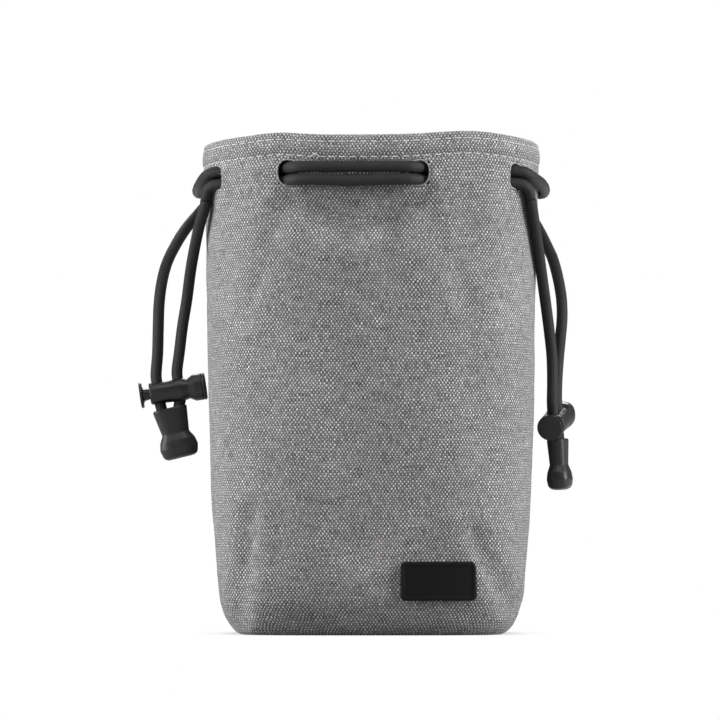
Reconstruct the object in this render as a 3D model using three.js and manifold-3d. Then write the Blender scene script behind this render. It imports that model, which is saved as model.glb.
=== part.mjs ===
// Padded drawcord pouch for a camera lens: melange cloth outside, foam in the wall, a cloth lining,
// two drawcords that leave at opposite sides, each with a push-button cord lock and a clip on its ends.
// Millimetres, +Z up, front towards -Y, origin on the floor under the middle of the base.

import * as THREE from 'three';
import { mergeVertices } from 'three/addons/utils/BufferGeometryUtils.js';
import Module from 'manifold-3d';

const wasm = await Module();
wasm.setup();

// Pouch outline: a rounded rectangle that is squarer at the floor than at the rim
const pouchHeight = 175;
const rimHalfWidth = 60.8;
const rimHalfDepth = 55;
const baseHalfWidth = 52.8;
const baseHalfDepth = 48;
const bottomCurveHeight = 14;
const bottomCurveInset = 7;
const rimSquareness = 2.7;
const baseSquareness = 4.2;
// Height share, and the share of the way from the base size to the rim size
const flareShares = [
  [0, 0], [0.05, 0.02], [0.11, 0.21], [0.16, 0.34], [0.23, 0.46], [0.31, 0.55], [0.4, 0.62],
  [0.48, 0.67], [0.63, 0.74], [0.78, 0.79], [0.87, 0.88], [0.95, 0.96], [0.98, 1], [1, 0.99],
];

// Wall layers, from the outside in
const clothThickness = 1.2;
const foamThickness = 5;
const liningThickness = 1.2;
const layerGap = 0.3;
const sideSeamGap = 0.3;

// Turned-in hem at the mouth, and the tunnel inside it that the cords run through
const rimThickness = 3;
const rimRound = 0.7;
const facingThickness = 1;
const tunnelDepth = 5.4;
const crossingBulge = 3.9;
const crossingFullness = 1.4;
const crossingShares = [0.37, 0.65];
const hemFoldDrop = 3;
const hemSlope = 4;
const tunnelHeight = 11;
const facingSlope = 2.5;
const facingOverlap = 5;
const hemFoldHeight = pouchHeight - hemFoldDrop;
const tunnelTopHeight = hemFoldHeight - hemSlope;
const tunnelFootHeight = tunnelTopHeight - tunnelHeight;
const facingFootHeight = tunnelFootHeight - facingSlope - facingOverlap;

// The foam and the lining end under the facing
const foamOverlap = 0.5;
const liningOverlap = 4.7;
const foamHeight = facingFootHeight + foamOverlap;
const liningHeight = facingFootHeight + liningOverlap;

// Slits in the outer cloth, as angles around the pouch counted from +X, for the front panel;
// the back panel is the same panel turned half round
const slitWidth = 8.2;
const slitHeight = 9.2;
const slitMiddleRise = 4.25;
const slitMiddleLevel = tunnelFootHeight + slitMiddleRise;
const slitCutDepth = 5;
const leftSideAngle = 211.5;
const leftFrontAngle = 240.6;
const rightFrontAngle = 287;
const rightSideAngle = 323.5;
const slitAngles = [leftSideAngle, leftFrontAngle, rightFrontAngle, rightSideAngle];

// Drawcords
const cordDiameter = 4;
const lowerCordRise = 2.2;
const cordRise = 4.35;
const lowerCordLevel = tunnelFootHeight + lowerCordRise;
const upperCordLevel = lowerCordLevel + cordRise;
const cordProud = 2.3;
const cordHidden = 3.9;
const crossingOuterDepth = 3.5;
const crossingInnerDepth = 8;
const sideLoopSag = 4.6;
const sideShare = 0.55;
// Share of the sag along a side loop: out of the front slit, across the side, into the back slit
const frontFallShares = [0, 0, 0, 0.1, 0.34];
const sideFallShares = [0.74, 1, 0.66];
const backFallShares = [0.16, 0.02, 0, 0, 0];
const frontSag = 0.6;
const slitRun = 6.4;
const slitHalfRun = 3;
const slitHalfRunShare = 0.765;
// Where a cord leaves for its lock, in shares of its diameter: run along the cloth, fall, and
// how far it stands out
const closeExitShares = [[0.75, 0.2, 0.425], [1.2, 0.62, 0.575], [1.5, 1.3, 0.6]];
const wideExitShares = [[0.75, 0.05, 0.425], [1.1, 0.175, 0.775]];
const channelCordSteps = 96;
const legSteps = 32;
const cordSides = 8;

// Label patch, low on the front
const labelMiddleDistance = 23.4;
const labelWidth = 26.4;
const labelHeight = 13.6;
const labelFootHeight = 12.2;
const labelThickness = 1.1;
const labelBorder = 1.1;
const labelBorderRise = 0.4;

// Cord lock: a barrel along local X with two cross holes for the cords along local Z,
// its origin midway between the holes
const cordHoleDiameter = 4.8;
const cordHolePitch = 7.6;
const firstHolePlace = 3.1;
const barrelLength = 19.2;
const barrelHalfHeight = 4;
const barrelHalfWidth = 4.7;
const barrelEdgeRound = 0.4;
const bulgeHalfHeight = 4.4;
const bulgeHalfLength = 1;
const bulgeRun = 2.2;
const waistHalfHeight = 3.65;
const waistHalfWidth = 4.4;
const waistPlace = 3.4;
const flareHalfHeight = 4.85;
const flareLength = 2.9;
const boreHalfHeight = 2.5;
const boreHalfWidth = 3.7;
const pressTravel = 2;
const runningGap = 0.3;
const stemEndWall = 0.8;
const headDiameter = 9.3;
const headThickness = 1;
const headStandOff = 2.6;
const neckRootHalfHeight = 3.2;
const neckConeLength = 0.6;
const capThickness = 0.9;
const capPlugLength = 0.8;
const springWire = 0.45;
const springMeanDiameter = 3.7;
const springTurns = 3;

// Cord end clip: two half shells over the knotted ends, its length runs down local Z
const clipLength = 18.4;
const clipMouthHalfWidth = 6.3;
const clipMouthHalfThickness = 3.7;
const clipWaistHalfWidth = 5;
const clipWaistHalfThickness = 3.2;
const clipFootHalfWidth = 7;
const clipFootHalfThickness = 4.5;
const clipEdgeRound = 0.5;
const clipWaistPlace = 9.4;
const clipFootPlace = 14.6;
const clipFootShoulder = 2.6;
const clipMouthWall = 0.7;
const clipWaistWall = 0.55;
const clipThicknessWall = 0.9;
const clipFloor = 1.5;
const clipSplitGap = 0.3;
const knotTop = 8.8;
const knotLength = 6.8;
const knotHalfWidth = 4.6;
const knotHalfThickness = 2.6;
// Share of the knot's length, and of its full size there
const knotShares = [[0, 0.45], [0.12, 0.8], [0.32, 1], [0.5, 0.93], [0.68, 1], [0.88, 0.8], [1, 0.45]];

// Share of full size left at an eased edge, and of its width and thickness towards the clip's toe
const easedShare = 0.92;
const toeRunShare = 0.35;
const toeShares = [[0.84, 0.74], [0.68, 0.44]];

// Squareness of the moulded sections (2 is an ellipse) and the sides that they are drawn with
const roundness = 2;
const lockSquareness = 2.4;
const clipSquareness = 2.8;
const mouldedSides = 24;
const boreSides = 16;
const springSides = 5;
const springStepsPerTurn = 8;
const panelSteps = 22;
const sheetSides = 44;
const labelSteps = 6;

// Reach past a face, shared by all cuts
const cutOverrun = 2;

// Where each lock and clip hangs, with its turns in degrees
const lockPlaces = {
  left: { at: [-72.8, 0, 87], pitch: -8.4, yaw: 0 },
  right: { at: [66.4, 0, 76], pitch: -14, yaw: 76 },
};
const clipPlaces = {
  left: { at: [-72.6, 0, 81], pitch: -14, yaw: 0 },
  right: { at: [67.2, 0, 69.9], pitch: -3, yaw: 78.5 },
};

// Free cord legs, from the slit down through the lock into the clip
const legPoints = {
  left_leg_front: [
    [-58.6, -28.51, 153.73], [-58.97, -27.53, 151.45], [-60.6, -23.6, 147], [-62.6, -16.2, 139.8],
    [-64.7, -8.4, 130.2], [-66.3, -2.9, 119.7], [-67.9, -0.4, 110.5], [-69, 0, 101.5],
    [-69.92, 0, 93.5], [-69.52, 0, 90.82], [-69.04, 0, 87.56], [-68.56, 0, 84.3], [-69.2, 0, 81.75],
    [-69.3, 0, 77.7], [-68.5, 0, 73.4],
  ],
  left_leg_back: [
    [-56.42, 35.72, 158.43], [-58.03, 35.38, 158.02], [-60.9, 34, 156.3], [-64, 31.2, 152.6],
    [-67.7, 26.2, 147.6], [-71, 19.3, 141.5], [-74.1, 11.8, 134], [-75.7, 6, 126.5],
    [-76.5, 2.4, 118.5], [-76.7, 0.4, 109.5], [-76.9, 0, 100.5], [-77.44, 0, 92.36],
    [-77.04, 0, 89.7], [-76.56, 0, 86.43], [-76.08, 0, 83.17], [-75.3, 0, 80.2], [-74.1, 0, 76.5],
    [-72.7, 0, 72.3],
  ],
  right_leg_front: [
    [56.23, -33.73, 153.73], [56.8, -32.7, 151.2], [57.8, -29.9, 145.5], [59.1, -25.2, 138.5],
    [60.8, -17.6, 128.5], [62.5, -10.6, 118.5], [64, -6, 108.5], [65, -4.4, 99.5],
    [65.2, -4.9, 90.5], [65.06, -5.5, 83.1], [65.16, -4.99, 80.9], [65.3, -4.42, 78.57],
    [65.51, -3.58, 75.08], [65.72, -2.74, 71.6], [66.3, -2.95, 69.6], [66.9, -2.45, 65.9],
    [67.2, -2.1, 61.5],
  ],
  right_leg_back: [
    [58.6, 28.51, 153.73], [58.93, 27.65, 151.7], [60.5, 25.8, 149], [62.4, 23.2, 145.2],
    [64.3, 20.1, 140.8], [66.1, 16, 136.2], [67.9, 10.8, 128.5], [69, 7, 120.5], [69.1, 4.9, 113.8],
    [68.5, 3.8, 107], [67.7, 3.3, 99], [67.1, 2.8, 90.5], [66.95, 2.2, 82.6], [67.08, 2.74, 80.41],
    [67.29, 3.58, 76.92], [67.5, 4.42, 73.43], [67.68, 4.4, 71.8], [67.8, 3.3, 69.9],
    [67.9, 2.45, 65.9], [68.05, 2.1, 61.5],
  ],
};

const fabric = new THREE.MeshStandardMaterial({ color: 0x8f8e8e, roughness: 0.95, metalness: 0 });
const foam = new THREE.MeshStandardMaterial({ color: 0xd9d6cf, roughness: 0.9, metalness: 0 });
const lining = new THREE.MeshStandardMaterial({ color: 0x3a3a3c, roughness: 0.95, metalness: 0 });
const cordCloth = new THREE.MeshStandardMaterial({ color: 0x17171a, roughness: 0.8, metalness: 0 });
const plastic = new THREE.MeshStandardMaterial({ color: 0x1c1c1f, roughness: 0.5, metalness: 0 });
const rubber = new THREE.MeshStandardMaterial({ color: 0x121214, roughness: 0.6, metalness: 0 });
const steel = new THREE.MeshStandardMaterial({ color: 0xb8bbc0, roughness: 0.3, metalness: 1 });

function flareAt(share) {
  const upper = flareShares.findIndex(([height]) => height >= share);
  if (upper <= 0) return flareShares[0][1];
  const [lowHeight, lowFlare] = flareShares[upper - 1];
  const [highHeight, highFlare] = flareShares[upper];
  return lowFlare + ((highFlare - lowFlare) * (share - lowHeight)) / (highHeight - lowHeight);
}

// Half width, half depth and squareness of the outer surface at a height
function outlineAt(z) {
  const share = Math.min(Math.max(z / pouchHeight, 0), 1);
  const flare = flareAt(share);
  const below = Math.min(Math.max(1 - z / bottomCurveHeight, 0), 1);
  const inset = bottomCurveInset * (1 - Math.sqrt(1 - below * below));
  return {
    halfWidth: baseHalfWidth + (rimHalfWidth - baseHalfWidth) * flare - inset,
    halfDepth: baseHalfDepth + (rimHalfDepth - baseHalfDepth) * flare - inset,
    squareness: rimSquareness + (baseSquareness - rimSquareness) * (1 - share) ** 2,
  };
}

// A point at an angle around the pouch, a height, and a depth behind the outer surface
function wallPoint(degrees, z, depth) {
  const { halfWidth, halfDepth, squareness } = outlineAt(z);
  const angle = THREE.MathUtils.degToRad(degrees);
  const across = Math.abs(Math.cos(angle) / (halfWidth - depth)) ** squareness;
  const along = Math.abs(Math.sin(angle) / (halfDepth - depth)) ** squareness;
  const radius = (across + along) ** (-1 / squareness);
  return new THREE.Vector3(radius * Math.cos(angle), radius * Math.sin(angle), z);
}

// A point on the front, at a place across it, a height, and a distance in front of the cloth
function frontPoint(x, z, proud) {
  const { halfWidth, halfDepth, squareness } = outlineAt(z);
  const share = 1 - Math.abs(x / (halfWidth + proud)) ** squareness;
  return new THREE.Vector3(x, -(halfDepth + proud) * share ** (1 / squareness), z);
}

// A closed body from equal rings of points, with a cap on its first and last ring
function ringBody(rings, capTriangles) {
  const count = rings[0].length;
  const positions = rings.flat().flatMap((point) => [point.x, point.y, point.z]);
  const indices = [];
  for (let ring = 0; ring < rings.length - 1; ring += 1) {
    for (let place = 0; place < count; place += 1) {
      const next = (place + 1) % count;
      const near = ring * count;
      const far = near + count;
      indices.push(near + place, near + next, far + next, near + place, far + next, far + place);
    }
  }
  const last = (rings.length - 1) * count;
  for (const [a, b, c] of capTriangles) {
    indices.push(c, b, a, last + a, last + b, last + c);
  }
  const geometry = new THREE.BufferGeometry();
  geometry.setAttribute('position', new THREE.Float32BufferAttribute(positions, 3));
  geometry.setIndex(indices);
  return facingOut(geometry);
}

// Turns every face over when the body is inside out
function facingOut(geometry) {
  const position = geometry.getAttribute('position');
  const index = geometry.getIndex();
  const corner = [new THREE.Vector3(), new THREE.Vector3(), new THREE.Vector3()];
  let volume = 0;
  for (let place = 0; place < index.count; place += 3) {
    corner.forEach((point, k) => point.fromBufferAttribute(position, index.getX(place + k)));
    volume += corner[0].dot(corner[1].clone().cross(corner[2]));
  }
  if (volume < 0) {
    for (let place = 0; place < index.count; place += 3) {
      const first = index.getX(place);
      index.setX(place, index.getX(place + 1));
      index.setX(place + 1, first);
    }
  }
  return geometry;
}

// A wall section, given as [depth, height] points, swept round part of the pouch
function sweptWall(sectionAt, startAngle, endAngle, steps) {
  const outline = sectionAt(startAngle).map(([depth, z]) => new THREE.Vector2(depth, z));
  const rings = [];
  for (let step = 0; step <= steps; step += 1) {
    const angle = startAngle + ((endAngle - startAngle) * step) / steps;
    rings.push(sectionAt(angle).map(([depth, z]) => wallPoint(angle, z, depth)));
  }
  const triangles = THREE.ShapeUtils.triangulateShape(outline, []);
  const clockwise = THREE.ShapeUtils.area(outline) < 0;
  return ringBody(rings, clockwise ? triangles.map(([a, b, c]) => [c, b, a]) : triangles);
}

// Points of a rounded rectangle in the local YZ or XY plane
function squircle(halfAcross, halfAlong, squareness, sides) {
  const points = [];
  for (let side = 0; side < sides; side += 1) {
    const angle = (2 * Math.PI * side) / sides;
    const cos = Math.cos(angle);
    const sin = Math.sin(angle);
    points.push([
      halfAcross * Math.sign(cos) * Math.abs(cos) ** (2 / squareness),
      halfAlong * Math.sign(sin) * Math.abs(sin) ** (2 / squareness),
    ]);
  }
  return points;
}

function fanCap(count) {
  const triangles = [];
  for (let corner = 1; corner < count - 1; corner += 1) triangles.push([0, corner, corner + 1]);
  return triangles;
}

// A body along local X from stations of [place, half height, half width]
function loftAlongX(stations, squareness, sides) {
  const rings = stations.map(([x, halfHeight, halfWidth]) =>
    squircle(halfWidth, halfHeight, squareness, sides).map(([y, z]) => new THREE.Vector3(x, y, z)));
  return ringBody(rings, fanCap(sides));
}

// A body down local Z from stations of [place below the top, half width, half thickness]
function loftDown(stations, squareness, sides) {
  const rings = stations.map(([down, halfWidth, halfThickness]) =>
    squircle(halfWidth, halfThickness, squareness, sides).map(([x, y]) => new THREE.Vector3(x, y, -down)));
  return ringBody(rings, fanCap(sides));
}

function solid(geometry) {
  const plain = geometry.clone();
  for (const name of Object.keys(plain.attributes)) {
    if (name !== 'position') plain.deleteAttribute(name);
  }
  const merged = mergeVertices(plain, 1e-3);
  return new wasm.Manifold(new wasm.Mesh({
    numProp: 3,
    vertProperties: new Float32Array(merged.getAttribute('position').array),
    triVerts: new Uint32Array(merged.getIndex().array),
  }));
}

function geometryOf(manifold) {
  const mesh = manifold.getMesh();
  const geometry = new THREE.BufferGeometry();
  geometry.setAttribute('position', new THREE.Float32BufferAttribute(mesh.vertProperties, 3));
  geometry.setIndex(new THREE.Uint32BufferAttribute(mesh.triVerts, 1));
  return geometry;
}

function cut(geometry, tools) {
  return geometryOf(tools.reduce((body, tool) => body.subtract(solid(tool)), solid(geometry)));
}

function joined(geometries) {
  const [first, ...others] = geometries;
  return geometryOf(others.reduce((body, other) => body.add(solid(other)), solid(first)));
}

function boxBetween(low, high) {
  const size = high.map((value, axis) => value - low[axis]);
  const middle = high.map((value, axis) => (value + low[axis]) / 2);
  return new THREE.BoxGeometry(...size).translate(...middle);
}

// Cloth panels

const fullTurn = 360;
const seamAngle = THREE.MathUtils.radToDeg(sideSeamGap / 2 / rimHalfWidth);
const tunnelOuter = clothThickness;
const foamOuter = clothThickness + layerGap;
const foamInner = foamOuter + foamThickness;
const liningOuter = foamInner + layerGap;
const liningInner = liningOuter + liningThickness;
const foamBottom = foamInner + layerGap;
const lipSlopeShare = 0.92;
const lipRiseShare = 0.3;
const facingFootOuter = liningInner + layerGap;

// How far the facing is pushed in where the cords change places, in the long hidden corner
function crossingShare(degrees) {
  const round = ((degrees % fullTurn) + fullTurn) % fullTurn;
  const place = (round - rightFrontAngle) / (rightSideAngle - rightFrontAngle);
  return place > 0 && place < 1 ? Math.min(1, crossingFullness * Math.sin(Math.PI * place)) : 0;
}

// Heights at which every layer of the wall follows the outline
const bottomLevelShares = [0, 0.006, 0.015, 0.028];
const wallLevelShares = [0.05, 0.1, 0.18, 0.3, 0.5, 0.72];
const wallLevels = wallLevelShares.map((share) => share * pouchHeight);

function outerSection(degrees) {
  const bulge = crossingBulge * crossingShare(degrees);
  const tunnelInner = tunnelOuter + tunnelDepth + bulge;
  const facingInner = tunnelInner + facingThickness;
  const clothTop = pouchHeight - clothThickness;
  const bottomLip = outlineAt(clothThickness).halfWidth - outlineAt(0).halfWidth;
  const lipRise = bottomCurveHeight * lipRiseShare;
  return [
    ...bottomLevelShares.map((share) => [0, share * pouchHeight]),
    ...wallLevels.map((z) => [0, z]),
    [0, foamHeight],
    [0, tunnelFootHeight],
    [0, tunnelTopHeight],
    [0, hemFoldHeight],
    [rimRound / 2, pouchHeight - rimRound / 2],
    [rimRound * 2, pouchHeight],
    [rimThickness - rimRound / 2, pouchHeight - rimRound / 2],
    [rimThickness, hemFoldHeight],
    [facingInner, tunnelTopHeight - facingThickness],
    [facingInner, tunnelFootHeight],
    [facingFootOuter + facingThickness, facingFootHeight + facingOverlap],
    [facingFootOuter + facingThickness, facingFootHeight],
    [facingFootOuter, facingFootHeight],
    [facingFootOuter, facingFootHeight + facingOverlap],
    [tunnelInner, tunnelFootHeight + facingThickness / 2],
    [tunnelInner, tunnelTopHeight - 2 * facingThickness],
    [rimThickness - facingThickness, clothTop - clothThickness - rimRound],
    [tunnelOuter, tunnelTopHeight],
    [tunnelOuter, tunnelFootHeight],
    [tunnelOuter, foamHeight],
    ...wallLevels.slice().reverse().map((z) => [clothThickness, z]),
    [clothThickness, foamBottom],
    [clothThickness / lipSlopeShare, lipRise],
    [bottomLip, clothThickness],
  ];
}

function slitCutter(degrees) {
  const step = 1;
  const place = wallPoint(degrees, slitMiddleLevel, clothThickness / 2);
  const along = wallPoint(degrees + step, slitMiddleLevel, 0)
    .sub(wallPoint(degrees - step, slitMiddleLevel, 0));
  return new THREE.BoxGeometry(slitWidth, slitCutDepth, slitHeight)
    .rotateZ(Math.atan2(along.y, along.x))
    .translate(place.x, place.y, place.z);
}

function outerPanel() {
  const panel = sweptWall(outerSection, fullTurn / 2 + seamAngle, fullTurn - seamAngle, panelSteps);
  return cut(panel, slitAngles.map(slitCutter));
}

function plainWall(outerDepth, innerDepth, bottom, top) {
  const levels = [bottom, ...wallLevels.filter((z) => z > bottom && z < foamHeight), foamHeight, top]
    .filter((z, place, all) => z !== all[place - 1]);
  const section = () => [
    ...levels.map((z) => [outerDepth, z]),
    ...levels.slice().reverse().map((z) => [innerDepth, z]),
  ];
  return sweptWall(section, fullTurn / 2 + seamAngle, fullTurn - seamAngle, panelSteps);
}

// A flat sheet that follows the pouch's outline at a height, set in from it
function flatSheet(outlineHeight, inset, bottom, thickness, sides) {
  const points = [];
  for (let side = 0; side < sides; side += 1) {
    const point = wallPoint((fullTurn * side) / sides, outlineHeight, inset);
    points.push(new THREE.Vector2(point.x, point.y));
  }
  const shape = new THREE.Shape(points);
  return new THREE.ExtrudeGeometry(shape, { depth: thickness, bevelEnabled: false }).translate(0, 0, bottom);
}

// Label patch

function frontBlock(left, right, bottom, top, back, front, columns) {
  const rings = [];
  for (let column = 0; column <= columns; column += 1) {
    const x = left + ((right - left) * column) / columns;
    rings.push([
      frontPoint(x, bottom, back), frontPoint(x, bottom, front),
      frontPoint(x, top, front), frontPoint(x, top, back),
    ]);
  }
  return ringBody(rings, fanCap(4));
}

function labelPatch() {
  const face = layerGap + labelThickness;
  const edge = face + labelBorderRise;
  const left = labelMiddleDistance - labelWidth / 2;
  const right = left + labelWidth;
  const top = labelFootHeight + labelHeight;
  const plate = frontBlock(left, right, labelFootHeight, top, layerGap, edge, labelSteps);
  const field = frontBlock(
    left + labelBorder, right - labelBorder, labelFootHeight + labelBorder, top - labelBorder,
    face, edge + cutOverrun, labelSteps,
  );
  return cut(plate, [field]);
}

// Cords

function cordTube(points, diameter, steps, sides) {
  const curve = new THREE.CatmullRomCurve3(points, false, 'centripetal');
  const section = squircle(diameter / 2, diameter / 2, roundness, sides);
  const shape = new THREE.Shape(section.map(([x, y]) => new THREE.Vector2(x, y)));
  return new THREE.ExtrudeGeometry(shape, { steps, bevelEnabled: false, extrudePath: curve });
}

const slitMiddleProud = (cordProud - cordHidden) / 2;

// Degrees round the pouch for one length of run along the cloth
function turnPerRun(degrees, level) {
  const place = wallPoint(degrees, level, 0);
  return THREE.MathUtils.radToDeg(1 / Math.hypot(place.x, place.y));
}

// Places along a slit: the cord swings from one side of the cloth to the other
function throughSlit(degrees, level, outwards) {
  const middle = slitMiddleProud;
  const swing = (cordProud + cordHidden) / 2;
  const turn = turnPerRun(degrees, level);
  return [
    [-slitRun, -1], [-slitHalfRun, -slitHalfRunShare], [0, 0], [slitHalfRun, slitHalfRunShare], [slitRun, 1],
  ].map(([run, share]) => [degrees + run * turn, level, middle + swing * share * (outwards ? 1 : -1)]);
}

// Out through a slit and down: the cord turns towards its lock
function outOfSlit(degrees, level, way, exitShares) {
  const turn = way * turnPerRun(degrees, level);
  const inside = throughSlit(degrees, level, true).slice(0, 3)
    .map(([place, height, proud]) => [degrees + (place - degrees) * way, height, proud]);
  const outside = exitShares.map((shares) => shares.map((share) => share * cordDiameter))
    .map(([run, fall, proud]) => [degrees + run * turn, level - fall, proud]);
  return [...inside, ...outside];
}

// The stretch that the pouch holds: in at the left side, across the front, round the right side,
// across the back and out at the left side again. The side loop hangs between a front slit and a
// back slit; the cord meets the front one first where loopFromFront is true
function channelRoute(startExit, endExit, loopFromFront) {
  const lower = lowerCordLevel;
  const upper = upperCordLevel;
  const half = fullTurn / 2;
  const [startSwap, endSwap] = crossingShares
    .map((share) => rightFrontAngle + (rightSideAngle - rightFrontAngle) * share);
  const sideTurn = (fullTurn - rightSideAngle) * sideShare;
  const falls = [...frontFallShares, ...sideFallShares, ...backFallShares].map((share) => share * sideLoopSag);
  const loopFalls = loopFromFront ? falls : falls.reverse();
  const sideLoop = [
    ...throughSlit(rightSideAngle, upper, true),
    ...[-sideTurn, 0, sideTurn].map((degrees) => [degrees, upper, cordProud]),
    ...throughSlit(leftSideAngle - half, upper, false),
  ].map(([degrees, level, proud], place) => [degrees, level - loopFalls[place], proud]);
  const cornerMiddle = (leftSideAngle + leftFrontAngle) / 2;
  const frontMiddle = (leftFrontAngle + rightFrontAngle) / 2;
  return [
    ...outOfSlit(leftSideAngle, lower, -1, startExit).reverse(),
    [cornerMiddle, lower, -cordHidden],
    ...throughSlit(leftFrontAngle, lower, true),
    [frontMiddle, lower - frontSag, cordProud],
    ...throughSlit(rightFrontAngle, lower, false),
    [startSwap, lower, -crossingOuterDepth],
    [endSwap, upper, -crossingOuterDepth],
    ...sideLoop,
    [cornerMiddle - half, upper, -cordHidden],
    ...throughSlit(leftFrontAngle - half, upper, true),
    [frontMiddle - half, upper, cordProud],
    ...throughSlit(rightFrontAngle - half, upper, false),
    [startSwap - half, upper, -crossingInnerDepth],
    [endSwap - half, lower, -crossingInnerDepth],
    ...outOfSlit(rightSideAngle - half, lower, 1, endExit),
  ].map(([degrees, level, proud]) => wallPoint(degrees, level, -proud));
}

function channelCord(startExit, endExit, loopFromFront) {
  const route = channelRoute(startExit, endExit, loopFromFront);
  return cordTube(route, cordDiameter, channelCordSteps, cordSides);
}

function legCord(points) {
  return cordTube(points.map((point) => new THREE.Vector3(...point)), cordDiameter, legSteps, cordSides);
}

// Cord lock

const barrelLeft = -firstHolePlace - cordHolePitch / 2;
const barrelRight = barrelLeft + barrelLength;
const holePlaces = [-cordHolePitch / 2, cordHolePitch / 2];
const stemEnd = holePlaces[1] + cordHoleDiameter / 2 + stemEndWall;
const plugStart = barrelRight + layerGap - capPlugLength;

function crossHole(x, diameter) {
  const reach = 2 * (flareHalfHeight + cutOverrun);
  return new THREE.CylinderGeometry(diameter / 2, diameter / 2, reach, boreSides)
    .rotateX(Math.PI / 2)
    .translate(x, 0, 0);
}

function lockBarrel() {
  const [, bulge] = holePlaces;
  const body = loftAlongX([
    [barrelLeft, barrelHalfHeight * easedShare, barrelHalfWidth * easedShare],
    [barrelLeft + barrelEdgeRound, barrelHalfHeight, barrelHalfWidth],
    [bulge - bulgeHalfLength - bulgeRun, barrelHalfHeight, barrelHalfWidth],
    [bulge - bulgeHalfLength, bulgeHalfHeight, barrelHalfWidth],
    [bulge + bulgeHalfLength, bulgeHalfHeight, barrelHalfWidth],
    [bulge + waistPlace, waistHalfHeight, waistHalfWidth],
    [barrelRight - flareLength, flareHalfHeight, flareHalfHeight],
    [barrelRight, flareHalfHeight, flareHalfHeight],
  ], lockSquareness, mouldedSides);
  const bore = loftAlongX([
    [barrelLeft - cutOverrun, boreHalfHeight, boreHalfWidth],
    [barrelRight + cutOverrun, boreHalfHeight, boreHalfWidth],
  ], lockSquareness, boreSides);
  return cut(body, [bore, ...holePlaces.map((x) => crossHole(x, cordHoleDiameter))]);
}

// The push button with its stem: the windows are longer than the cord holes by the travel
function lockPlunger() {
  const headFace = barrelLeft - headStandOff;
  const halfHeight = boreHalfHeight - runningGap;
  const halfWidth = boreHalfWidth - runningGap;
  const head = new THREE.CylinderGeometry(headDiameter / 2, headDiameter / 2, headThickness, mouldedSides)
    .rotateZ(Math.PI / 2)
    .translate(headFace - headThickness / 2, 0, 0);
  const stem = loftAlongX([
    [headFace - headThickness / 2, neckRootHalfHeight, halfWidth],
    [headFace, neckRootHalfHeight, halfWidth],
    [headFace + neckConeLength, halfHeight, halfWidth],
    [stemEnd, halfHeight, halfWidth],
  ], lockSquareness, boreSides);
  const windows = holePlaces.flatMap((x) => [
    crossHole(x, cordHoleDiameter),
    crossHole(x - pressTravel, cordHoleDiameter),
    boxBetween(
      [x - pressTravel, -cordHoleDiameter / 2, -barrelHalfHeight],
      [x, cordHoleDiameter / 2, barrelHalfHeight],
    ),
  ]);
  return joined([head, cut(stem, windows)]);
}

function lockEndCap() {
  const start = barrelRight + layerGap;
  const disc = loftAlongX([
    [start, flareHalfHeight, flareHalfHeight],
    [start + capThickness / 2, flareHalfHeight, flareHalfHeight],
    [start + capThickness, flareHalfHeight * easedShare, flareHalfHeight * easedShare],
  ], lockSquareness, mouldedSides);
  const plug = loftAlongX([
    [plugStart, boreHalfHeight - runningGap, boreHalfWidth - runningGap],
    [start + capThickness / 2, boreHalfHeight - runningGap, boreHalfWidth - runningGap],
  ], lockSquareness, boreSides);
  return joined([disc, plug]);
}

function lockSpring() {
  const start = stemEnd + runningGap + springWire / 2;
  const length = plugStart - runningGap - springWire / 2 - start;
  const radius = springMeanDiameter / 2;
  const steps = springTurns * springStepsPerTurn;
  const points = [];
  for (let step = 0; step <= steps; step += 1) {
    const angle = (2 * Math.PI * step) / springStepsPerTurn;
    points.push(new THREE.Vector3(
      start + (length * step) / steps, radius * Math.cos(angle), radius * Math.sin(angle),
    ));
  }
  return cordTube(points, springWire, steps, springSides);
}

// Cord end clip

function clipHalves() {
  const outer = loftDown([
    [0, clipMouthHalfWidth * easedShare, clipMouthHalfThickness * easedShare],
    [clipEdgeRound, clipMouthHalfWidth, clipMouthHalfThickness],
    [clipWaistPlace, clipWaistHalfWidth, clipWaistHalfThickness],
    [clipFootPlace - clipFootShoulder, clipFootHalfWidth * easedShare, clipFootHalfThickness * easedShare],
    [clipFootPlace, clipFootHalfWidth, clipFootHalfThickness],
    [clipLength - clipFloor, clipFootHalfWidth * easedShare, clipFootHalfThickness * easedShare],
    ...toeShares.map(([width, thickness], step) => [
      clipLength - (1 - step) * toeRunShare * clipFloor,
      clipFootHalfWidth * width, clipFootHalfThickness * thickness,
    ]),
  ], clipSquareness, mouldedSides);
  const neckWidth = clipWaistHalfWidth - clipWaistWall;
  const neckThickness = clipWaistHalfThickness - clipThicknessWall;
  const chamberWidth = knotHalfWidth + runningGap;
  const chamberThickness = knotHalfThickness + runningGap;
  const hollow = loftDown([
    [-cutOverrun, clipMouthHalfWidth - clipMouthWall, clipMouthHalfThickness - clipThicknessWall],
    [0, clipMouthHalfWidth - clipMouthWall, clipMouthHalfThickness - clipThicknessWall],
    [clipWaistPlace, neckWidth, neckThickness],
    [clipFootPlace - clipFootShoulder, chamberWidth, chamberThickness],
    [clipLength - clipFloor, chamberWidth, chamberThickness],
  ], clipSquareness, boreSides);
  const shell = cut(outer, [hollow]);
  const reach = clipLength + cutOverrun;
  const half = clipSplitGap / 2;
  return [
    cut(shell, [boxBetween([-reach, -half, -reach], [reach, reach, reach])]),
    cut(shell, [boxBetween([-reach, -reach, -reach], [reach, half, reach])]),
  ];
}

function cordKnot() {
  return loftDown(knotShares.map(([share, fullness]) => [
    knotTop + knotLength * share, knotHalfWidth * fullness, knotHalfThickness * fullness,
  ]), roundness, boreSides);
}

const group = new THREE.Group();

function add(parent, name, geometry, material) {
  const mesh = new THREE.Mesh(geometry, material);
  mesh.name = name;
  parent.add(mesh);
  return mesh;
}

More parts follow.
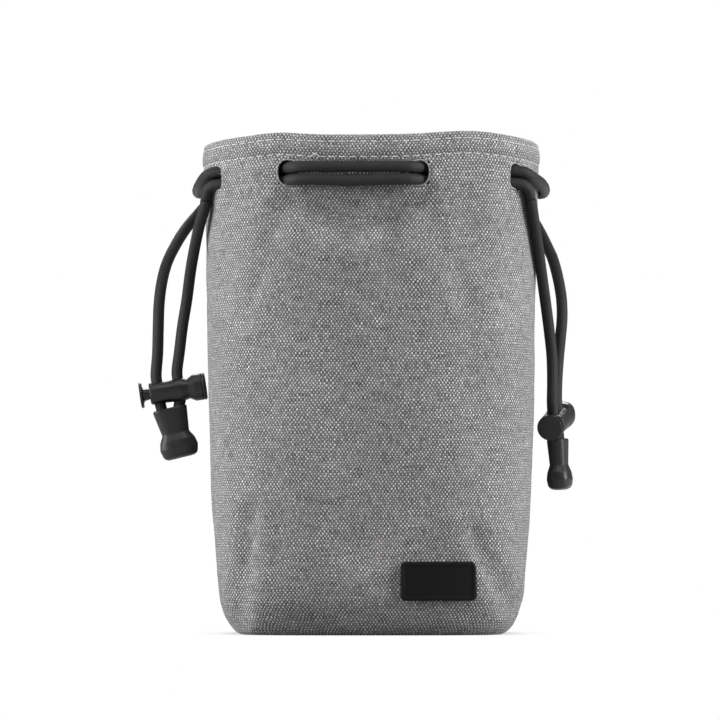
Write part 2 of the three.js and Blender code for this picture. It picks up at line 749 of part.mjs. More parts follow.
add(group, 'outer_front_panel', outerPanel(), fabric);
add(group, 'outer_back_panel', outerPanel(), fabric).rotation.z = Math.PI;

const foamWall = plainWall(foamOuter, foamInner, foamBottom, foamHeight);
add(group, 'foam_front', foamWall, foam);
add(group, 'foam_back', foamWall, foam).rotation.z = Math.PI;

const liningBottom = liningOuter + liningThickness + layerGap;
const liningWall = plainWall(liningOuter, liningInner, liningBottom, liningHeight);
add(group, 'lining_front', liningWall, lining);
add(group, 'lining_back', liningWall, lining).rotation.z = Math.PI;

add(group, 'base_panel', flatSheet(0, layerGap, 0, clothThickness, sheetSides), fabric);
add(group, 'base_foam', flatSheet(0, layerGap, foamOuter, foamThickness, sheetSides), foam);
const baseLining = flatSheet(liningOuter, liningOuter, liningOuter, liningThickness, sheetSides);
add(group, 'base_lining', baseLining, lining);
add(group, 'label_patch', labelPatch(), rubber);

add(group, 'left_drawcord', channelCord(closeExitShares, wideExitShares, true), cordCloth);
add(group, 'right_drawcord', channelCord(closeExitShares, closeExitShares, false), cordCloth).rotation.z = Math.PI;

for (const [name, points] of Object.entries(legPoints)) add(group, name, legCord(points), cordCloth);

const barrel = lockBarrel();
const plunger = lockPlunger();
const endCap = lockEndCap();
const spring = lockSpring();
const [clipFront, clipBack] = clipHalves();
const knot = cordKnot();

function hang({ at, pitch, yaw }, order) {
  const holder = new THREE.Group();
  holder.position.set(...at);
  holder.rotation.set(0, THREE.MathUtils.degToRad(pitch), THREE.MathUtils.degToRad(yaw), order);
  group.add(holder);
  return holder;
}

for (const side of ['left', 'right']) {
  const lock = hang(lockPlaces[side], 'ZYX');
  add(lock, `${side}_lock_barrel`, barrel, plastic);
  add(lock, `${side}_lock_plunger`, plunger, plastic);
  add(lock, `${side}_lock_spring`, spring, steel);
  add(lock, `${side}_lock_end_cap`, endCap, plastic);
  const clip = hang(clipPlaces[side], 'YZX');
  add(clip, `${side}_clip_front`, clipFront, plastic);
  add(clip, `${side}_clip_back`, clipBack, plastic);
  add(clip, `${side}_cord_knot`, knot, cordCloth);
}

export default group;
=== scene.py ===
import math

import bmesh
import bpy
import numpy as np
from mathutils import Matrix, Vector, noise


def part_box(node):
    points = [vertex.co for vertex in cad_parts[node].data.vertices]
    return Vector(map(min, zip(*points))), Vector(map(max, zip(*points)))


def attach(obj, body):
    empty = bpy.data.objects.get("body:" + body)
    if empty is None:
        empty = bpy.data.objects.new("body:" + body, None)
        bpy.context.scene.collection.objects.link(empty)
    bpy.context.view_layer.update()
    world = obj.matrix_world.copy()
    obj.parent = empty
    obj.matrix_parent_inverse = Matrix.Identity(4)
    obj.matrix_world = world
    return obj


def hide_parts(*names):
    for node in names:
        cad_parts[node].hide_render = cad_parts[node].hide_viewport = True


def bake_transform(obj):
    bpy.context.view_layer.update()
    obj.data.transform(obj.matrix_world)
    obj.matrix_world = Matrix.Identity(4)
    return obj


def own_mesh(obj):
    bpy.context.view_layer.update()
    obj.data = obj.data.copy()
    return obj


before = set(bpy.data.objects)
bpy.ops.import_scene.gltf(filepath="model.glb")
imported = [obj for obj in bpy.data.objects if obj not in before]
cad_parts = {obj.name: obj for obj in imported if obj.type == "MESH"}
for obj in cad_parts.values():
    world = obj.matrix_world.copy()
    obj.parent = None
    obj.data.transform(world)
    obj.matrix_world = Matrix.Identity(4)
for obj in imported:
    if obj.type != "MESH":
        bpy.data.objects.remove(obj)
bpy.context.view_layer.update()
MM = 0.001
SIDES = ("left", "right")

# Camera: low, far away, turned slightly up
IMAGE_PX = 720
FOCAL_PX = 4555.0
CAMERA_LEFT_PX = 11
EYE_LEVEL_PX = 189.7  # below the image's middle
SENSOR_WIDTH = 36.0
CAMERA_DISTANCE = 1.64
CAMERA_HEIGHT = 0.030
camera_data = bpy.data.cameras.new("camera")
camera_data.sensor_width = SENSOR_WIDTH
camera_data.lens = SENSOR_WIDTH * FOCAL_PX / IMAGE_PX
camera = bpy.data.objects.new("camera", camera_data)
camera.location = (-CAMERA_LEFT_PX / FOCAL_PX * CAMERA_DISTANCE, -CAMERA_DISTANCE, CAMERA_HEIGHT)
camera.rotation_euler = (math.radians(90) + math.atan(EYE_LEVEL_PX / FOCAL_PX), 0, 0)
bpy.context.scene.collection.objects.link(camera)
bpy.context.scene.camera = camera

# Outline of the pouch, in millimetres and degrees, the same as the CAD
HEIGHT = 175.0
RIM_HALF = (60.8, 55.0)
BASE_HALF = (52.8, 48.0)
BOTTOM_CURVE = 14.0
BOTTOM_INSET = 7.0
RIM_SQUARE = 2.7
BASE_SQUARE = 4.2
FLARE = np.array([  # share of the height, share of the way from base to rim
    (0, 0), (0.05, 0.02), (0.11, 0.21), (0.16, 0.34), (0.23, 0.46), (0.31, 0.55), (0.4, 0.62),
    (0.48, 0.67), (0.63, 0.74), (0.78, 0.79), (0.87, 0.88), (0.95, 0.96), (0.98, 1), (1, 0.99)])
HALF_TURNS = (0, 180)  # the back is the front turned half round
SLITS = {"left_side": 211.5, "left_front": 240.6, "right_front": 287.0, "right_side": 323.5}
ALL_SLITS = [(angle + half, "side" in name) for name, angle in SLITS.items() for half in HALF_TURNS]
SLIT_MIDDLE = 161.25
SLIT_HALF = (3.7, 4.3)
SLIT_SQUARE = 2.6


def wall(degrees, z, depth):
    """Points at angles round the pouch, at heights, at depths behind the outer surface."""
    degrees, z, depth = (np.asarray(v, float) for v in np.broadcast_arrays(degrees, z, depth))
    share = np.clip(z / HEIGHT, 0, 1)
    flare = np.interp(share, FLARE[:, 0], FLARE[:, 1])
    below = np.clip(1 - z / BOTTOM_CURVE, 0, 1)
    inset = BOTTOM_INSET * (1 - np.sqrt(1 - below * below))
    half_x, half_y = (low + (high - low) * flare - inset - depth for low, high in zip(BASE_HALF, RIM_HALF))
    square = RIM_SQUARE + (BASE_SQUARE - RIM_SQUARE) * (1 - share) ** 2
    angle = np.radians(degrees)
    cos, sin = np.cos(angle), np.sin(angle)
    radius = (np.abs(cos / half_x) ** square + np.abs(sin / half_y) ** square) ** (-1 / square)
    return np.stack([radius * cos, radius * sin, z], axis=-1)


def wall_radius(degrees, z):
    return math.hypot(*wall(degrees, z, 0)[:2])


def arc_from(degrees, middle, radius):
    """Way along the wall from an angle, the shorter way round, in millimetres."""
    return (np.mod(degrees - middle + 180, 360) - 180) * math.pi / 180 * radius


def hump(value, middle, width, power=2):
    """1 at the middle, falling to 0 on both sides; a higher power makes it flatter and steeper."""
    return np.exp(-((value - middle) / width) ** power)


def eased(share):
    share = np.clip(share, 0, 1)
    return share * share * (3 - 2 * share)


# Routes of the cords: places are an angle, a height and how far the cord stands out of the wall
CORD, CORD_RIBS = 4.0, 16
LOW, HIGH = 159.2, 163.55
PROUD, HIDDEN = 2.3, 3.9
SIDE_SAG = 4.6
FRONT_SAG = 0.6
LOOP_SHARE = 0.55
LOOP_FALLS = [0, 0, 0, 0.1, 0.34, 0.74, 1, 0.66, 0.16, 0.02, 0, 0, 0]
PASSAGE = [(-6.4, -1), (-3, -0.765), (0, 0), (3, 0.765), (6.4, 1)]  # run, share of the way out
CLOSE_EXIT = [(3, 0.8, 1.7), (4.8, 2.48, 2.3), (6, 5.2, 2.4)]  # run, fall, how far out
WIDE_EXIT = [(3, 0.2, 1.7), (4.4, 0.7, 3.1)]
SWAP_SHARES = (0.37, 0.65)
SWAP_OUTER, SWAP_INNER = 3.5, 8.0


def through(degrees, level, outwards):
    turn = math.degrees(1 / wall_radius(degrees, level))
    middle, swing = (PROUD - HIDDEN) / 2, (PROUD + HIDDEN) / 2
    sign = 1 if outwards else -1
    return [(degrees + run * turn, level, middle + swing * share * sign) for run, share in PASSAGE]


def out_of(degrees, level, way, steps):
    turn = way * math.degrees(1 / wall_radius(degrees, level))
    inside = [(degrees + (a - degrees) * way, h, p) for a, h, p in through(degrees, level, True)[:3]]
    return inside + [(degrees + run * turn, level - fall, proud) for run, fall, proud in steps]


def held_route(start, end, loop_from_front):
    """The stretch of a cord that the pouch holds, once round the mouth."""
    left_side, left_front, right_front, right_side = SLITS.values()
    swap_from, swap_to = (right_front + (right_side - right_front) * share for share in SWAP_SHARES)
    front = (left_front + right_front) / 2
    corner = (left_side + left_front) / 2
    turn = (360 - right_side) * LOOP_SHARE
    loop = through(right_side, HIGH, True)
    loop += [(a, HIGH, PROUD) for a in (-turn, 0, turn)]
    loop += through(left_side - 180, HIGH, False)
    falls = LOOP_FALLS if loop_from_front else LOOP_FALLS[::-1]
    route = out_of(left_side, LOW, -1, start)[::-1] + [(corner, LOW, -HIDDEN)]
    route += through(left_front, LOW, True) + [(front, LOW - FRONT_SAG, PROUD)]
    route += through(right_front, LOW, False)
    route += [(swap_from, LOW, -SWAP_OUTER), (swap_to, HIGH, -SWAP_OUTER)]
    route += [(a, h - SIDE_SAG * fall, p) for (a, h, p), fall in zip(loop, falls)]
    route += [(corner - 180, HIGH, -HIDDEN)] + through(left_front - 180, HIGH, True)
    route += [(front - 180, HIGH, PROUD)] + through(right_front - 180, HIGH, False)
    route += [(swap_from - 180, HIGH, -SWAP_INNER), (swap_to - 180, LOW, -SWAP_INNER)]
    route += out_of(right_side - 180, LOW, 1, end)
    return [tuple(wall(a, h, -p)) for a, h, p in route]


LEGS = {
    "left_leg_front": [
        (-58.6, -28.51, 153.73), (-58.97, -27.53, 151.45), (-60.6, -23.6, 147), (-62.6, -16.2, 139.8),
        (-64.7, -8.4, 130.2), (-66.3, -2.9, 119.7), (-67.9, -0.4, 110.5), (-69, 0, 101.5),
        (-69.92, 0, 93.5), (-69.52, 0, 90.82), (-69.04, 0, 87.56), (-68.56, 0, 84.3), (-69.2, 0, 81.75),
        (-69.3, 0, 77.7), (-68.5, 0, 73.4)],
    "left_leg_back": [
        (-56.42, 35.72, 158.43), (-58.03, 35.38, 158.02), (-60.9, 34, 156.3), (-64, 31.2, 152.6),
        (-67.7, 26.2, 147.6), (-71, 19.3, 141.5), (-74.1, 11.8, 134), (-75.7, 6, 126.5),
        (-76.5, 2.4, 118.5), (-76.7, 0.4, 109.5), (-76.9, 0, 100.5), (-77.44, 0, 92.36), (-77.04, 0, 89.7),
        (-76.56, 0, 86.43), (-76.08, 0, 83.17), (-75.3, 0, 80.2), (-74.1, 0, 76.5), (-72.7, 0, 72.3)],
    "right_leg_front": [
        (56.23, -33.73, 153.73), (56.8, -32.7, 151.2), (57.8, -29.9, 145.5), (59.1, -25.2, 138.5),
        (60.8, -17.6, 128.5), (62.5, -10.6, 118.5), (64, -6, 108.5), (65, -4.4, 99.5), (65.2, -4.9, 90.5),
        (65.06, -5.5, 83.1), (65.16, -4.99, 80.9), (65.3, -4.42, 78.57), (65.51, -3.58, 75.08),
        (65.72, -2.74, 71.6), (66.3, -2.95, 69.6), (66.9, -2.45, 65.9), (67.2, -2.1, 61.5)],
    "right_leg_back": [
        (58.6, 28.51, 153.73), (58.93, 27.65, 151.7), (60.5, 25.8, 149), (62.4, 23.2, 145.2),
        (64.3, 20.1, 140.8), (66.1, 16, 136.2), (67.9, 10.8, 128.5), (69, 7, 120.5), (69.1, 4.9, 113.8),
        (68.5, 3.8, 107), (67.7, 3.3, 99), (67.1, 2.8, 90.5), (66.95, 2.2, 82.6), (67.08, 2.74, 80.41),
        (67.29, 3.58, 76.92), (67.5, 4.42, 73.43), (67.68, 4.4, 71.8), (67.8, 3.3, 69.9),
        (67.9, 2.45, 65.9), (68.05, 2.1, 61.5)],
}
CURVE_STEPS = 12
LARGEST_SMOOTH_FACE = 7


def between(u, low, high, a, b):
    return (high - u) / (high - low) * a + (u - low) / (high - low) * b


def smooth_line(points, step):
    """Centripetal Catmull-Rom curve through the points, resampled at even steps, and its length."""
    points = [np.array(p, float) for p in points]
    points = [2 * points[0] - points[1]] + points + [2 * points[-1] - points[-2]]
    fine = []
    for a, b, c, d in zip(points, points[1:], points[2:], points[3:]):
        gaps = [max(np.linalg.norm(q - p), 1e-6) ** 0.5 for p, q in ((a, b), (b, c), (c, d))]
        t = np.cumsum([0] + gaps)
        for u in np.linspace(t[1], t[2], CURVE_STEPS, endpoint=False):
            ab, bc = between(u, t[0], t[1], a, b), between(u, t[1], t[2], b, c)
            cd = between(u, t[2], t[3], c, d)
            abc, bcd = between(u, t[0], t[2], ab, bc), between(u, t[1], t[3], bc, cd)
            fine.append(between(u, t[1], t[2], abc, bcd))
    fine.append(points[-2])
    fine = np.array(fine)
    run = np.concatenate([[0], np.cumsum(np.linalg.norm(np.diff(fine, axis=0), axis=1))])
    at = np.linspace(0, run[-1], max(3, int(round(run[-1] / step)) + 1))
    return np.stack([np.interp(at, run, fine[:, k]) for k in range(3)], axis=-1), run[-1]


def new_mesh(name, verts, faces, uvs=None):
    """A mesh object in metres from millimetre points; uvs are one pair for each vertex."""
    mesh = bpy.data.meshes.new(name)
    mesh.from_pydata([tuple(float(c) * MM for c in v) for v in verts], [], faces)
    if uvs is not None:
        layer = mesh.uv_layers.new(name="UVMap")
        index = np.empty(len(mesh.loops), dtype=np.int32)
        mesh.loops.foreach_get("vertex_index", index)
        layer.data.foreach_set("uv", np.asarray(uvs, dtype=np.float32)[index].ravel())
    # a cord's end caps stay flat, so that they don't bend the light on its last ring
    mesh.polygons.foreach_set("use_smooth", [len(face) <= LARGEST_SMOOTH_FACE for face in faces])
    piece = bpy.data.objects.new(name, mesh)
    bpy.context.scene.collection.objects.link(piece)
    return piece


def arrays_of(mesh):
    verts = np.array([tuple(v.co) for v in mesh.vertices]) / MM
    return verts, [tuple(p.vertices) for p in mesh.polygons]


def band_faces(rings, columns, flip=False):
    """Quads between rings of columns that close on themselves."""
    faces = []
    for r in range(rings - 1):
        for c in range(columns):
            n = (c + 1) % columns
            low, high = r * columns, (r + 1) * columns
            quad = (low + c, low + n, high + n, high + c)
            faces.append((quad[1], quad[0], quad[3], quad[2]) if flip else quad)
    return faces


def tube_arrays(line, radius, sides, ribs=0, rib_depth=0.0):
    """Rings round a line by parallel transport, with lengthwise ribs if asked."""
    line = np.asarray(line, float)
    tangents = np.gradient(line, axis=0)
    tangents /= np.linalg.norm(tangents, axis=1)[:, None]
    up = np.array([0.0, 0, 1]) if abs(tangents[0][2]) < 0.9 else np.array([1.0, 0, 0])
    normal = np.cross(tangents[0], up)
    normal /= np.linalg.norm(normal)
    radius = np.broadcast_to(radius, len(line))
    verts, uvs, run = [], [], 0.0
    for k, (point, tangent) in enumerate(zip(line, tangents)):
        if k:
            run += np.linalg.norm(point - line[k - 1])
            normal = normal - tangent * normal.dot(tangent)
            normal /= np.linalg.norm(normal)
        side = np.cross(tangent, normal)
        for s in range(sides):
            angle = math.tau * s / sides
            r = radius[k] - rib_depth * (0.5 + 0.5 * math.cos(ribs * angle))
            verts.append(point + r * (math.cos(angle) * normal + math.sin(angle) * side))
            uvs.append((s / sides, run))
    faces = band_faces(len(line), sides)
    faces.append(tuple(reversed(range(sides))))
    faces.append(tuple(range((len(line) - 1) * sides, len(line) * sides)))
    return verts, faces, uvs


def joined(parts):
    verts, faces, uvs = [], [], []
    for part_verts, part_faces, part_uvs in parts:
        start = len(verts)
        verts.extend(part_verts)
        faces.extend(tuple(k + start for k in face) for face in part_faces)
        uvs.extend(part_uvs)
    return verts, faces, uvs


class Nodes:
    def __init__(self, tree):
        self.tree = tree

    def put(self, socket, value):
        if isinstance(value, bpy.types.NodeSocket):
            self.tree.links.new(value, socket)
        else:
            socket.default_value = value

    def node(self, kind, *values):
        node = self.tree.nodes.new(kind)
        for socket, value in zip(node.inputs, values):
            self.put(socket, value)
        return node

    def math(self, operation, a, b=0.0):
        node = self.node("ShaderNodeMath", a, b)
        node.operation = operation
        return node.outputs[0]

    def times(self, a, b):
        return self.math("MULTIPLY", a, b)

    def over(self, a, b):
        return self.math("DIVIDE", a, b)

    def plus(self, a, b):
        return self.math("ADD", a, b)

    def minus(self, a, b):
        return self.math("SUBTRACT", a, b)

    def spread(self, value, low, high, to_low=0.0, to_high=1.0):
        return self.node("ShaderNodeMapRange", value, low, high, to_low, to_high).outputs[0]

    def mottled(self, value, to_low, to_high):
        """Noise seldom leaves its middle, so that is what is spread."""
        return self.spread(value, 0.3, 0.7, to_low, to_high)

    def mix(self, share, a, b):
        node = self.node("ShaderNodeMix", share)
        node.data_type = "FLOAT"
        self.put(node.inputs[2], a)
        self.put(node.inputs[3], b)
        return node.outputs[0]

    def vector(self, x, y, z=0.0):
        return self.node("ShaderNodeCombineXYZ", x, y, z).outputs[0]

    def parts(self, vector):
        return self.node("ShaderNodeSeparateXYZ", vector).outputs

    def place(self, kind):
        return self.node("ShaderNodeTexCoord").outputs[kind]

    def noise(self, vector, scale, detail=2.0, roughness=0.5):
        node = self.node("ShaderNodeTexNoise", vector)
        for name, value in (("Scale", scale), ("Detail", detail), ("Roughness", roughness)):
            node.inputs[name].default_value = value
        return node.outputs[0]

    def slanted(self, u, v, turns, pitch, way="ADD"):
        """A wave that winds round a cord or thread."""
        round_it = self.times(u, math.tau * turns)
        return self.math("SINE", self.math(way, round_it, self.times(v, pitch)))

    def tint(self, value, stops):
        node = self.node("ShaderNodeValToRGB", value)
        ramp = node.color_ramp
        for element, (place, colour) in zip(ramp.elements, stops):
            element.position = place
            element.color = (*colour, 1)
        return node.outputs[0]

    def shade(self, tone, colour):
        return self.tint(tone, [(0, (0, 0, 0)), (1, colour)])

    def seen_by(self, first, *others):
        rays = self.node("ShaderNodeLightPath").outputs
        seen = rays[f"Is {first} Ray"]
        for kind in others:
            seen = self.math("MAXIMUM", seen, rays[f"Is {kind} Ray"])
        return seen


class Material(Nodes):
    def __init__(self, name, roughness, **sockets):
        self.material = bpy.data.materials.new(name)
        self.material.use_nodes = True
        super().__init__(self.material.node_tree)
        self.shader = next(n for n in self.tree.nodes if n.type == "BSDF_PRINCIPLED")
        self.shader.inputs["Roughness"].default_value = roughness
        for socket, value in sockets.items():
            self.shader.inputs[socket.replace("_", " ")].default_value = value

    def finish(self, colour, height, strength, distance, roughness=None):
        self.put(self.shader.inputs["Base Color"], colour)
        if roughness is not None:
            self.put(self.shader.inputs["Roughness"], roughness)
        bump = self.tree.nodes.new("ShaderNodeBump")
        for name, value in (("Strength", strength), ("Distance", distance), ("Height", height)):
            self.put(bump.inputs[name], value)
        self.put(self.shader.inputs["Normal"], bump.outputs[0])
        return self.material


# Sizes of the weave, in millimetres, and tones of its two yarns
WARP_PITCH, WEFT_PITCH = 0.63, 0.86
SHIFT_PATCH = 4.5
UV_START = 2000  # keeps the threads' numbers above 0
THREAD_SQUARE = 2.6
LIGHT_YARN, DARK_YARN = (0.42, 0.92), (0.1, 0.31)
LIGHT_FLECK, DARK_FLECK = 0.2, 0.06
CLOTH_WHITE = (1.0, 0.985, 0.992)


def thread_crown(g, run):
    """Height across a thread: 1 at its middle, 0 at its edges."""
    edge = g.math("ABSOLUTE", g.minus(g.times(g.math("FRACT", run), 2), 1))
    return g.minus(1, g.math("POWER", edge, THREAD_SQUARE))


def melange_cloth():
    """Plain weave of a light and a dark yarn, both mottled, on UVs in millimetres; each thread is darker
    towards its edges, as painted shade between the threads.
    """
    g = Material("melange_cloth", 0.9, Sheen_Weight=0.25, Sheen_Roughness=0.5, Specular_IOR_Level=0.25)
    u, v, _ = g.parts(g.place("UV"))
    patch = g.over(u, SHIFT_PATCH), g.over(v, SHIFT_PATCH)
    shift_u = g.spread(g.noise(g.vector(*patch), 1.0), 0, 1, UV_START - 1, UV_START + 1)
    shift_v = g.spread(g.noise(g.vector(*patch, 11.0), 1.0), 0, 1, UV_START - 0.8, UV_START + 0.8)
    u = g.plus(g.over(u, WARP_PITCH), shift_u)
    v = g.plus(g.over(v, WEFT_PITCH), shift_v)
    column, row = g.math("FLOOR", u), g.math("FLOOR", v)
    odd = g.math("MODULO", g.plus(column, row), 2)
    crown = g.times(thread_crown(g, u), thread_crown(g, v))
    chance = g.node("ShaderNodeTexWhiteNoise", g.vector(column, row)).outputs["Value"]
    fleck = g.minus(chance, 0.5)
    warp = g.noise(g.vector(column, g.over(v, 6.0), 3.0), 1.0, 1.0)
    weft = g.noise(g.vector(g.over(u, 16.0), row, 7.0), 1.0, 1.0)
    light = g.plus(g.mottled(warp, *LIGHT_YARN), g.times(fleck, LIGHT_FLECK))
    dark = g.plus(g.mottled(weft, *DARK_YARN), g.times(fleck, DARK_FLECK))
    # the crown darkens each thread towards its edges: painted shade between the threads
    tone = g.times(g.mix(odd, light, dark), g.spread(crown, 0, 0.8, 0.16, 0.86))
    cloud = g.noise(g.vector(g.over(u, 40), g.over(v, 40)), 1.0, 3.0)
    slub = g.noise(g.vector(g.over(u, 18.0), g.times(row, 0.7), 21.0), 1.0, 1.0)
    tone = g.times(tone, g.mottled(cloud, 0.92, 1.06))
    tone = g.times(tone, g.mottled(slub, 0.89, 1.09))
    fuzz = g.times(g.noise(g.place("Object"), 2600), 0.35)
    return g.finish(g.shade(tone, CLOTH_WHITE), g.plus(crown, fuzz), 0.55, 0.00025)


def braided_cord():
    """Black braided sheath: fine lengthwise ribs crossed by short diagonal picks, darker where the braid
    dips, as painted shade.
    """
    g = Material("cord_sheath", 0.5, Sheen_Weight=0.05, Specular_IOR_Level=0.25)
    u, v, _ = g.parts(g.place("UV"))
    picks, back = (g.slanted(u, v, CORD_RIBS, 7.0, way) for way in ("ADD", "SUBTRACT"))
    weave = g.times(picks, back)
    fleck = g.times(g.noise(g.place("Object"), 1500), 0.008)
    # the tone follows the braid's relief: painted shade where it dips
    tone = g.plus(g.spread(weave, -1, 1, 0.005, 0.018), fleck)
    return g.finish(g.shade(tone, (1, 1, 1.04)), weave, 0.5, 0.0001)


def moulded(name, tone, roughness, grain=900, shine=0.4):
    """Moulded black plastic or rubber: fine grain, faint scuffs that change its gloss."""
    g = Material(name, roughness, Specular_IOR_Level=shine)
    place = g.place("Object")
    scuffs = g.noise(place, 160, 4, 0.65)
    colour = g.tint(scuffs, [(0.25, (tone * 0.8,) * 3), (0.8, (tone * 1.35, tone * 1.35, tone * 1.4))])
    rough = g.mottled(scuffs, roughness - 0.07, roughness + 0.1)
    return g.finish(colour, g.noise(place, grain, 3), 0.12, 0.0001, rough)


def yarn(name, tone):
    """Twisted thread: diagonal plies on its length, darker in the grooves between them, as painted shade.
    """
    g = Material(name, 0.85, Sheen_Weight=0.1)
    u, v, _ = g.parts(g.place("UV"))
    ply = g.slanted(u, v, 2, 9.0)
    fluff = g.minus(g.noise(g.place("Object"), 2500), 0.5)
    # the tone follows the plies: painted shade in the grooves between them
    tone = g.plus(g.spread(ply, -1, 1, tone * 0.72, tone), g.times(fluff, 0.2))
    return g.finish(g.shade(tone, (1, 0.99, 0.98)), ply, 0.4, 0.0001)


def lining_cloth():
    """Dark brushed lining with a short nap and faint wear."""
    g = Material("lining_cloth", 0.95, Sheen_Weight=0.35, Sheen_Roughness=0.4)
    place = g.place("Object")
    nap = g.noise(place, 1400, 3, 0.6)
    wear = g.noise(place, 38, 3)
    tone = g.plus(g.mottled(nap, 0.018, 0.05), g.spread(wear, 0.35, 0.7, 0, 0.018))
    return g.finish(g.shade(tone, (1, 1, 1.03)), nap, 0.5, 0.0003)


def spring_steel():
    g = Material("spring_steel", 0.28, Metallic=1.0)
    streak = g.noise(g.place("Object"), 700)
    colour = g.tint(streak, [(0.3, (0.46, 0.47, 0.48)), (0.7, (0.68, 0.69, 0.7))])
    g.put(g.shader.inputs["Base Color"], colour)
    g.put(g.shader.inputs["Roughness"], g.mottled(streak, 0.22, 0.4))
    return g.material


def dress(piece, material):
    piece.data.materials.append(material)


cloth_material = melange_cloth()
cord_material = braided_cord()
plastic = moulded("lock_plastic", 0.012, 0.42)
rubber = moulded("label_rubber", 0.005, 0.6, 1500, 0.12)
thread = yarn("stitch_thread", 0.74)
cut_thread = yarn("cut_thread", 0.42)
lining_material = lining_cloth()
steel = spring_steel()

# Cords: the stretches that the pouch holds, and the four free legs
CORD_STEP, CORD_SIDES = 1.1, 32
RIB_DEPTH, RIB_MARGIN = 0.12, 0.03
HELD_REACH, HELD_END_SLIMMER = 0.24, 0.14


def cord_piece(name, points, body, node, reach=0.0):
    line, length = smooth_line(points, CORD_STEP)
    for end, beside in ((0, 1), (-1, -2)):
        outwards = line[end] - line[beside]
        line[end] += outwards / np.linalg.norm(outwards) * reach
    radii = np.full(len(line), CORD / 2 + RIB_MARGIN)
    if reach:
        radii[[0, -1]] -= HELD_END_SLIMMER
    piece = new_mesh(name, *tube_arrays(line, radii, CORD_SIDES, CORD_RIBS, RIB_DEPTH))
    dress(piece, cord_material)
    if body == "pouch":
        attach(piece, body)
    else:
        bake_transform(piece)
    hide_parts(node)
    return piece, line, length


left_route = held_route(CLOSE_EXIT, WIDE_EXIT, True)
right_route = [(-x, -y, z) for x, y, z in held_route(CLOSE_EXIT, CLOSE_EXIT, False)]
for side, route in zip(SIDES, (left_route, right_route)):
    cord_piece(f"{side}_channel_cord", route, "pouch", f"{side}_drawcord", HELD_REACH)

legs = {}
for leg_node, route in LEGS.items():
    side = leg_node.split("_")[0]
    legs[leg_node] = cord_piece(leg_node + "_cord", route, side + "_tassel", leg_node)

# Outer cloth: rows of depth and height, from under the base over the rim to the facing's foot
COLUMNS = 384
QUARTER = COLUMNS // 4
RIM_RADIUS = 1.5
BASE_DEPTHS = (40, 34, 28, 22, 17, 12, 8, 5, 3, 1.6, 0.7)
FOOT_HEIGHTS = (0.0, 0.12, 0.45, 1.0, 1.8, 2.8, 4.0, 5.4, 7.0, 8.6)
WALL_SPAN, HEM_SPAN = (10.4, 150.0, 1.9), (150.6, 172.6, 0.85)
RIM_ANGLES = np.radians([0, 25, 50, 75, 90, 110, 135, 160, 180])
FACING = [(3.1, 172.4), (3.6, 171.2), (5.2, 169.2), (6.8, 167.9), (7.6, 166.6), (7.7, 164), (7.7, 160.5),
          (7.8, 157.4), (8.6, 155.4), (9.3, 153.6), (9.35, 151.4), (9.35, 149.6)]
angles = 180 + np.arange(COLUMNS) * 360 / COLUMNS
wall_heights = np.concatenate([FOOT_HEIGHTS, np.arange(*WALL_SPAN), np.arange(*HEM_SPAN)])
rim_turn = [(RIM_RADIUS - RIM_RADIUS * math.cos(t), HEIGHT - RIM_RADIUS + RIM_RADIUS * math.sin(t))
            for t in RIM_ANGLES]
profile = [(depth, 0.0) for depth in BASE_DEPTHS] + [(0, z) for z in wall_heights] + rim_turn + FACING
wall_start = len(BASE_DEPTHS)
rim_start = wall_start + len(wall_heights)
facing_start = rim_start + len(rim_turn)

# Marks on the front of the cloth, in millimetres, and turned half round on its back
CORD_MIDDLE = -6
CORD_DENTS = [  # depth, then half width and steepness across, then height, half height and steepness
    (1.5, 25, 4, 146, 7.5, 2),
    (1.0, 26, 6, 161.2, 4.6, 4)]
PUCKER = [(-30, 156), (-27, 149.5), (-17, 143.5), (-4, 141), (9, 143.5), (16, 149.5), (19, 156)]
PUCKER_DEPTH, PUCKER_WIDTH = 0.7, 3.4
FOLDS = [  # from, to, depth
    ((-42.5, 42), (-46.5, 4), 0.9), ((36.5, 34), (48, 11), 0.9),
    ((-31, 150), (-44, 112), 0.45), ((19, 151), (33, 118), 0.45)]
FOLD_WIDTH, FOLD_BANK, FOLD_BANK_WIDTH = 3.0, 6.5, 3.4
HEM_FOOT, HEM_TOP, HEM_MIDDLE = 150, 174, 169.7
STITCH_ROWS = (172.4, 167.0)
GROOVE_DEPTH, GROOVE_WIDTH = 0.32, 0.75
SWELL_HEIGHT, SWELL_WIDTH = 0.22, 1.7
LIP_HEIGHT, LIP_OUT, LIP_WIDTH, LIP_TALL = 0.45, 4.6, 1.7, 5.5
NOTCH_DEPTH, NOTCH_FOOT = 0.5, 165
SEAM_DEPTH, SEAM_TOP, SEAM_WIDTH = 0.45, 173, 0.8
FRONT_LIFTS = [(1.0, -33, 10), (1.7, 36, 17), (-0.5, -60, 8)]  # height, place across, width
BACK_LIFTS = [(0.9, 20, 18)]
LIFT_FOOT, LIFT_REACH = 152, 16


def near_line(x, z, start, end):
    """Distance from points to a line between two places on the front."""
    ax, az = start
    bx, bz = end
    share = np.clip(((x - ax) * (bx - ax) + (z - az) * (bz - az)) / ((bx - ax) ** 2 + (bz - az) ** 2), 0, 1)
    return np.hypot(x - ax - share * (bx - ax), z - az - share * (bz - az))


def front_marks(x, z):
    """Dents and a pucker that the cord leaves, and folds."""
    out = np.zeros_like(x)
    for depth, half, steepness, level, tall, up_steepness in CORD_DENTS:
        out -= depth * hump(x, CORD_MIDDLE, half, steepness) * hump(z, level, tall, up_steepness)
    for start, end in zip(PUCKER, PUCKER[1:]):
        out -= PUCKER_DEPTH * hump(near_line(x, z, start, end), 0, PUCKER_WIDTH)
    for start, end, depth in FOLDS:
        away = near_line(x, z, start, end)
        out += depth * (0.5 * hump(away, FOLD_BANK, FOLD_BANK_WIDTH) - hump(away, 0, FOLD_WIDTH))
    return out


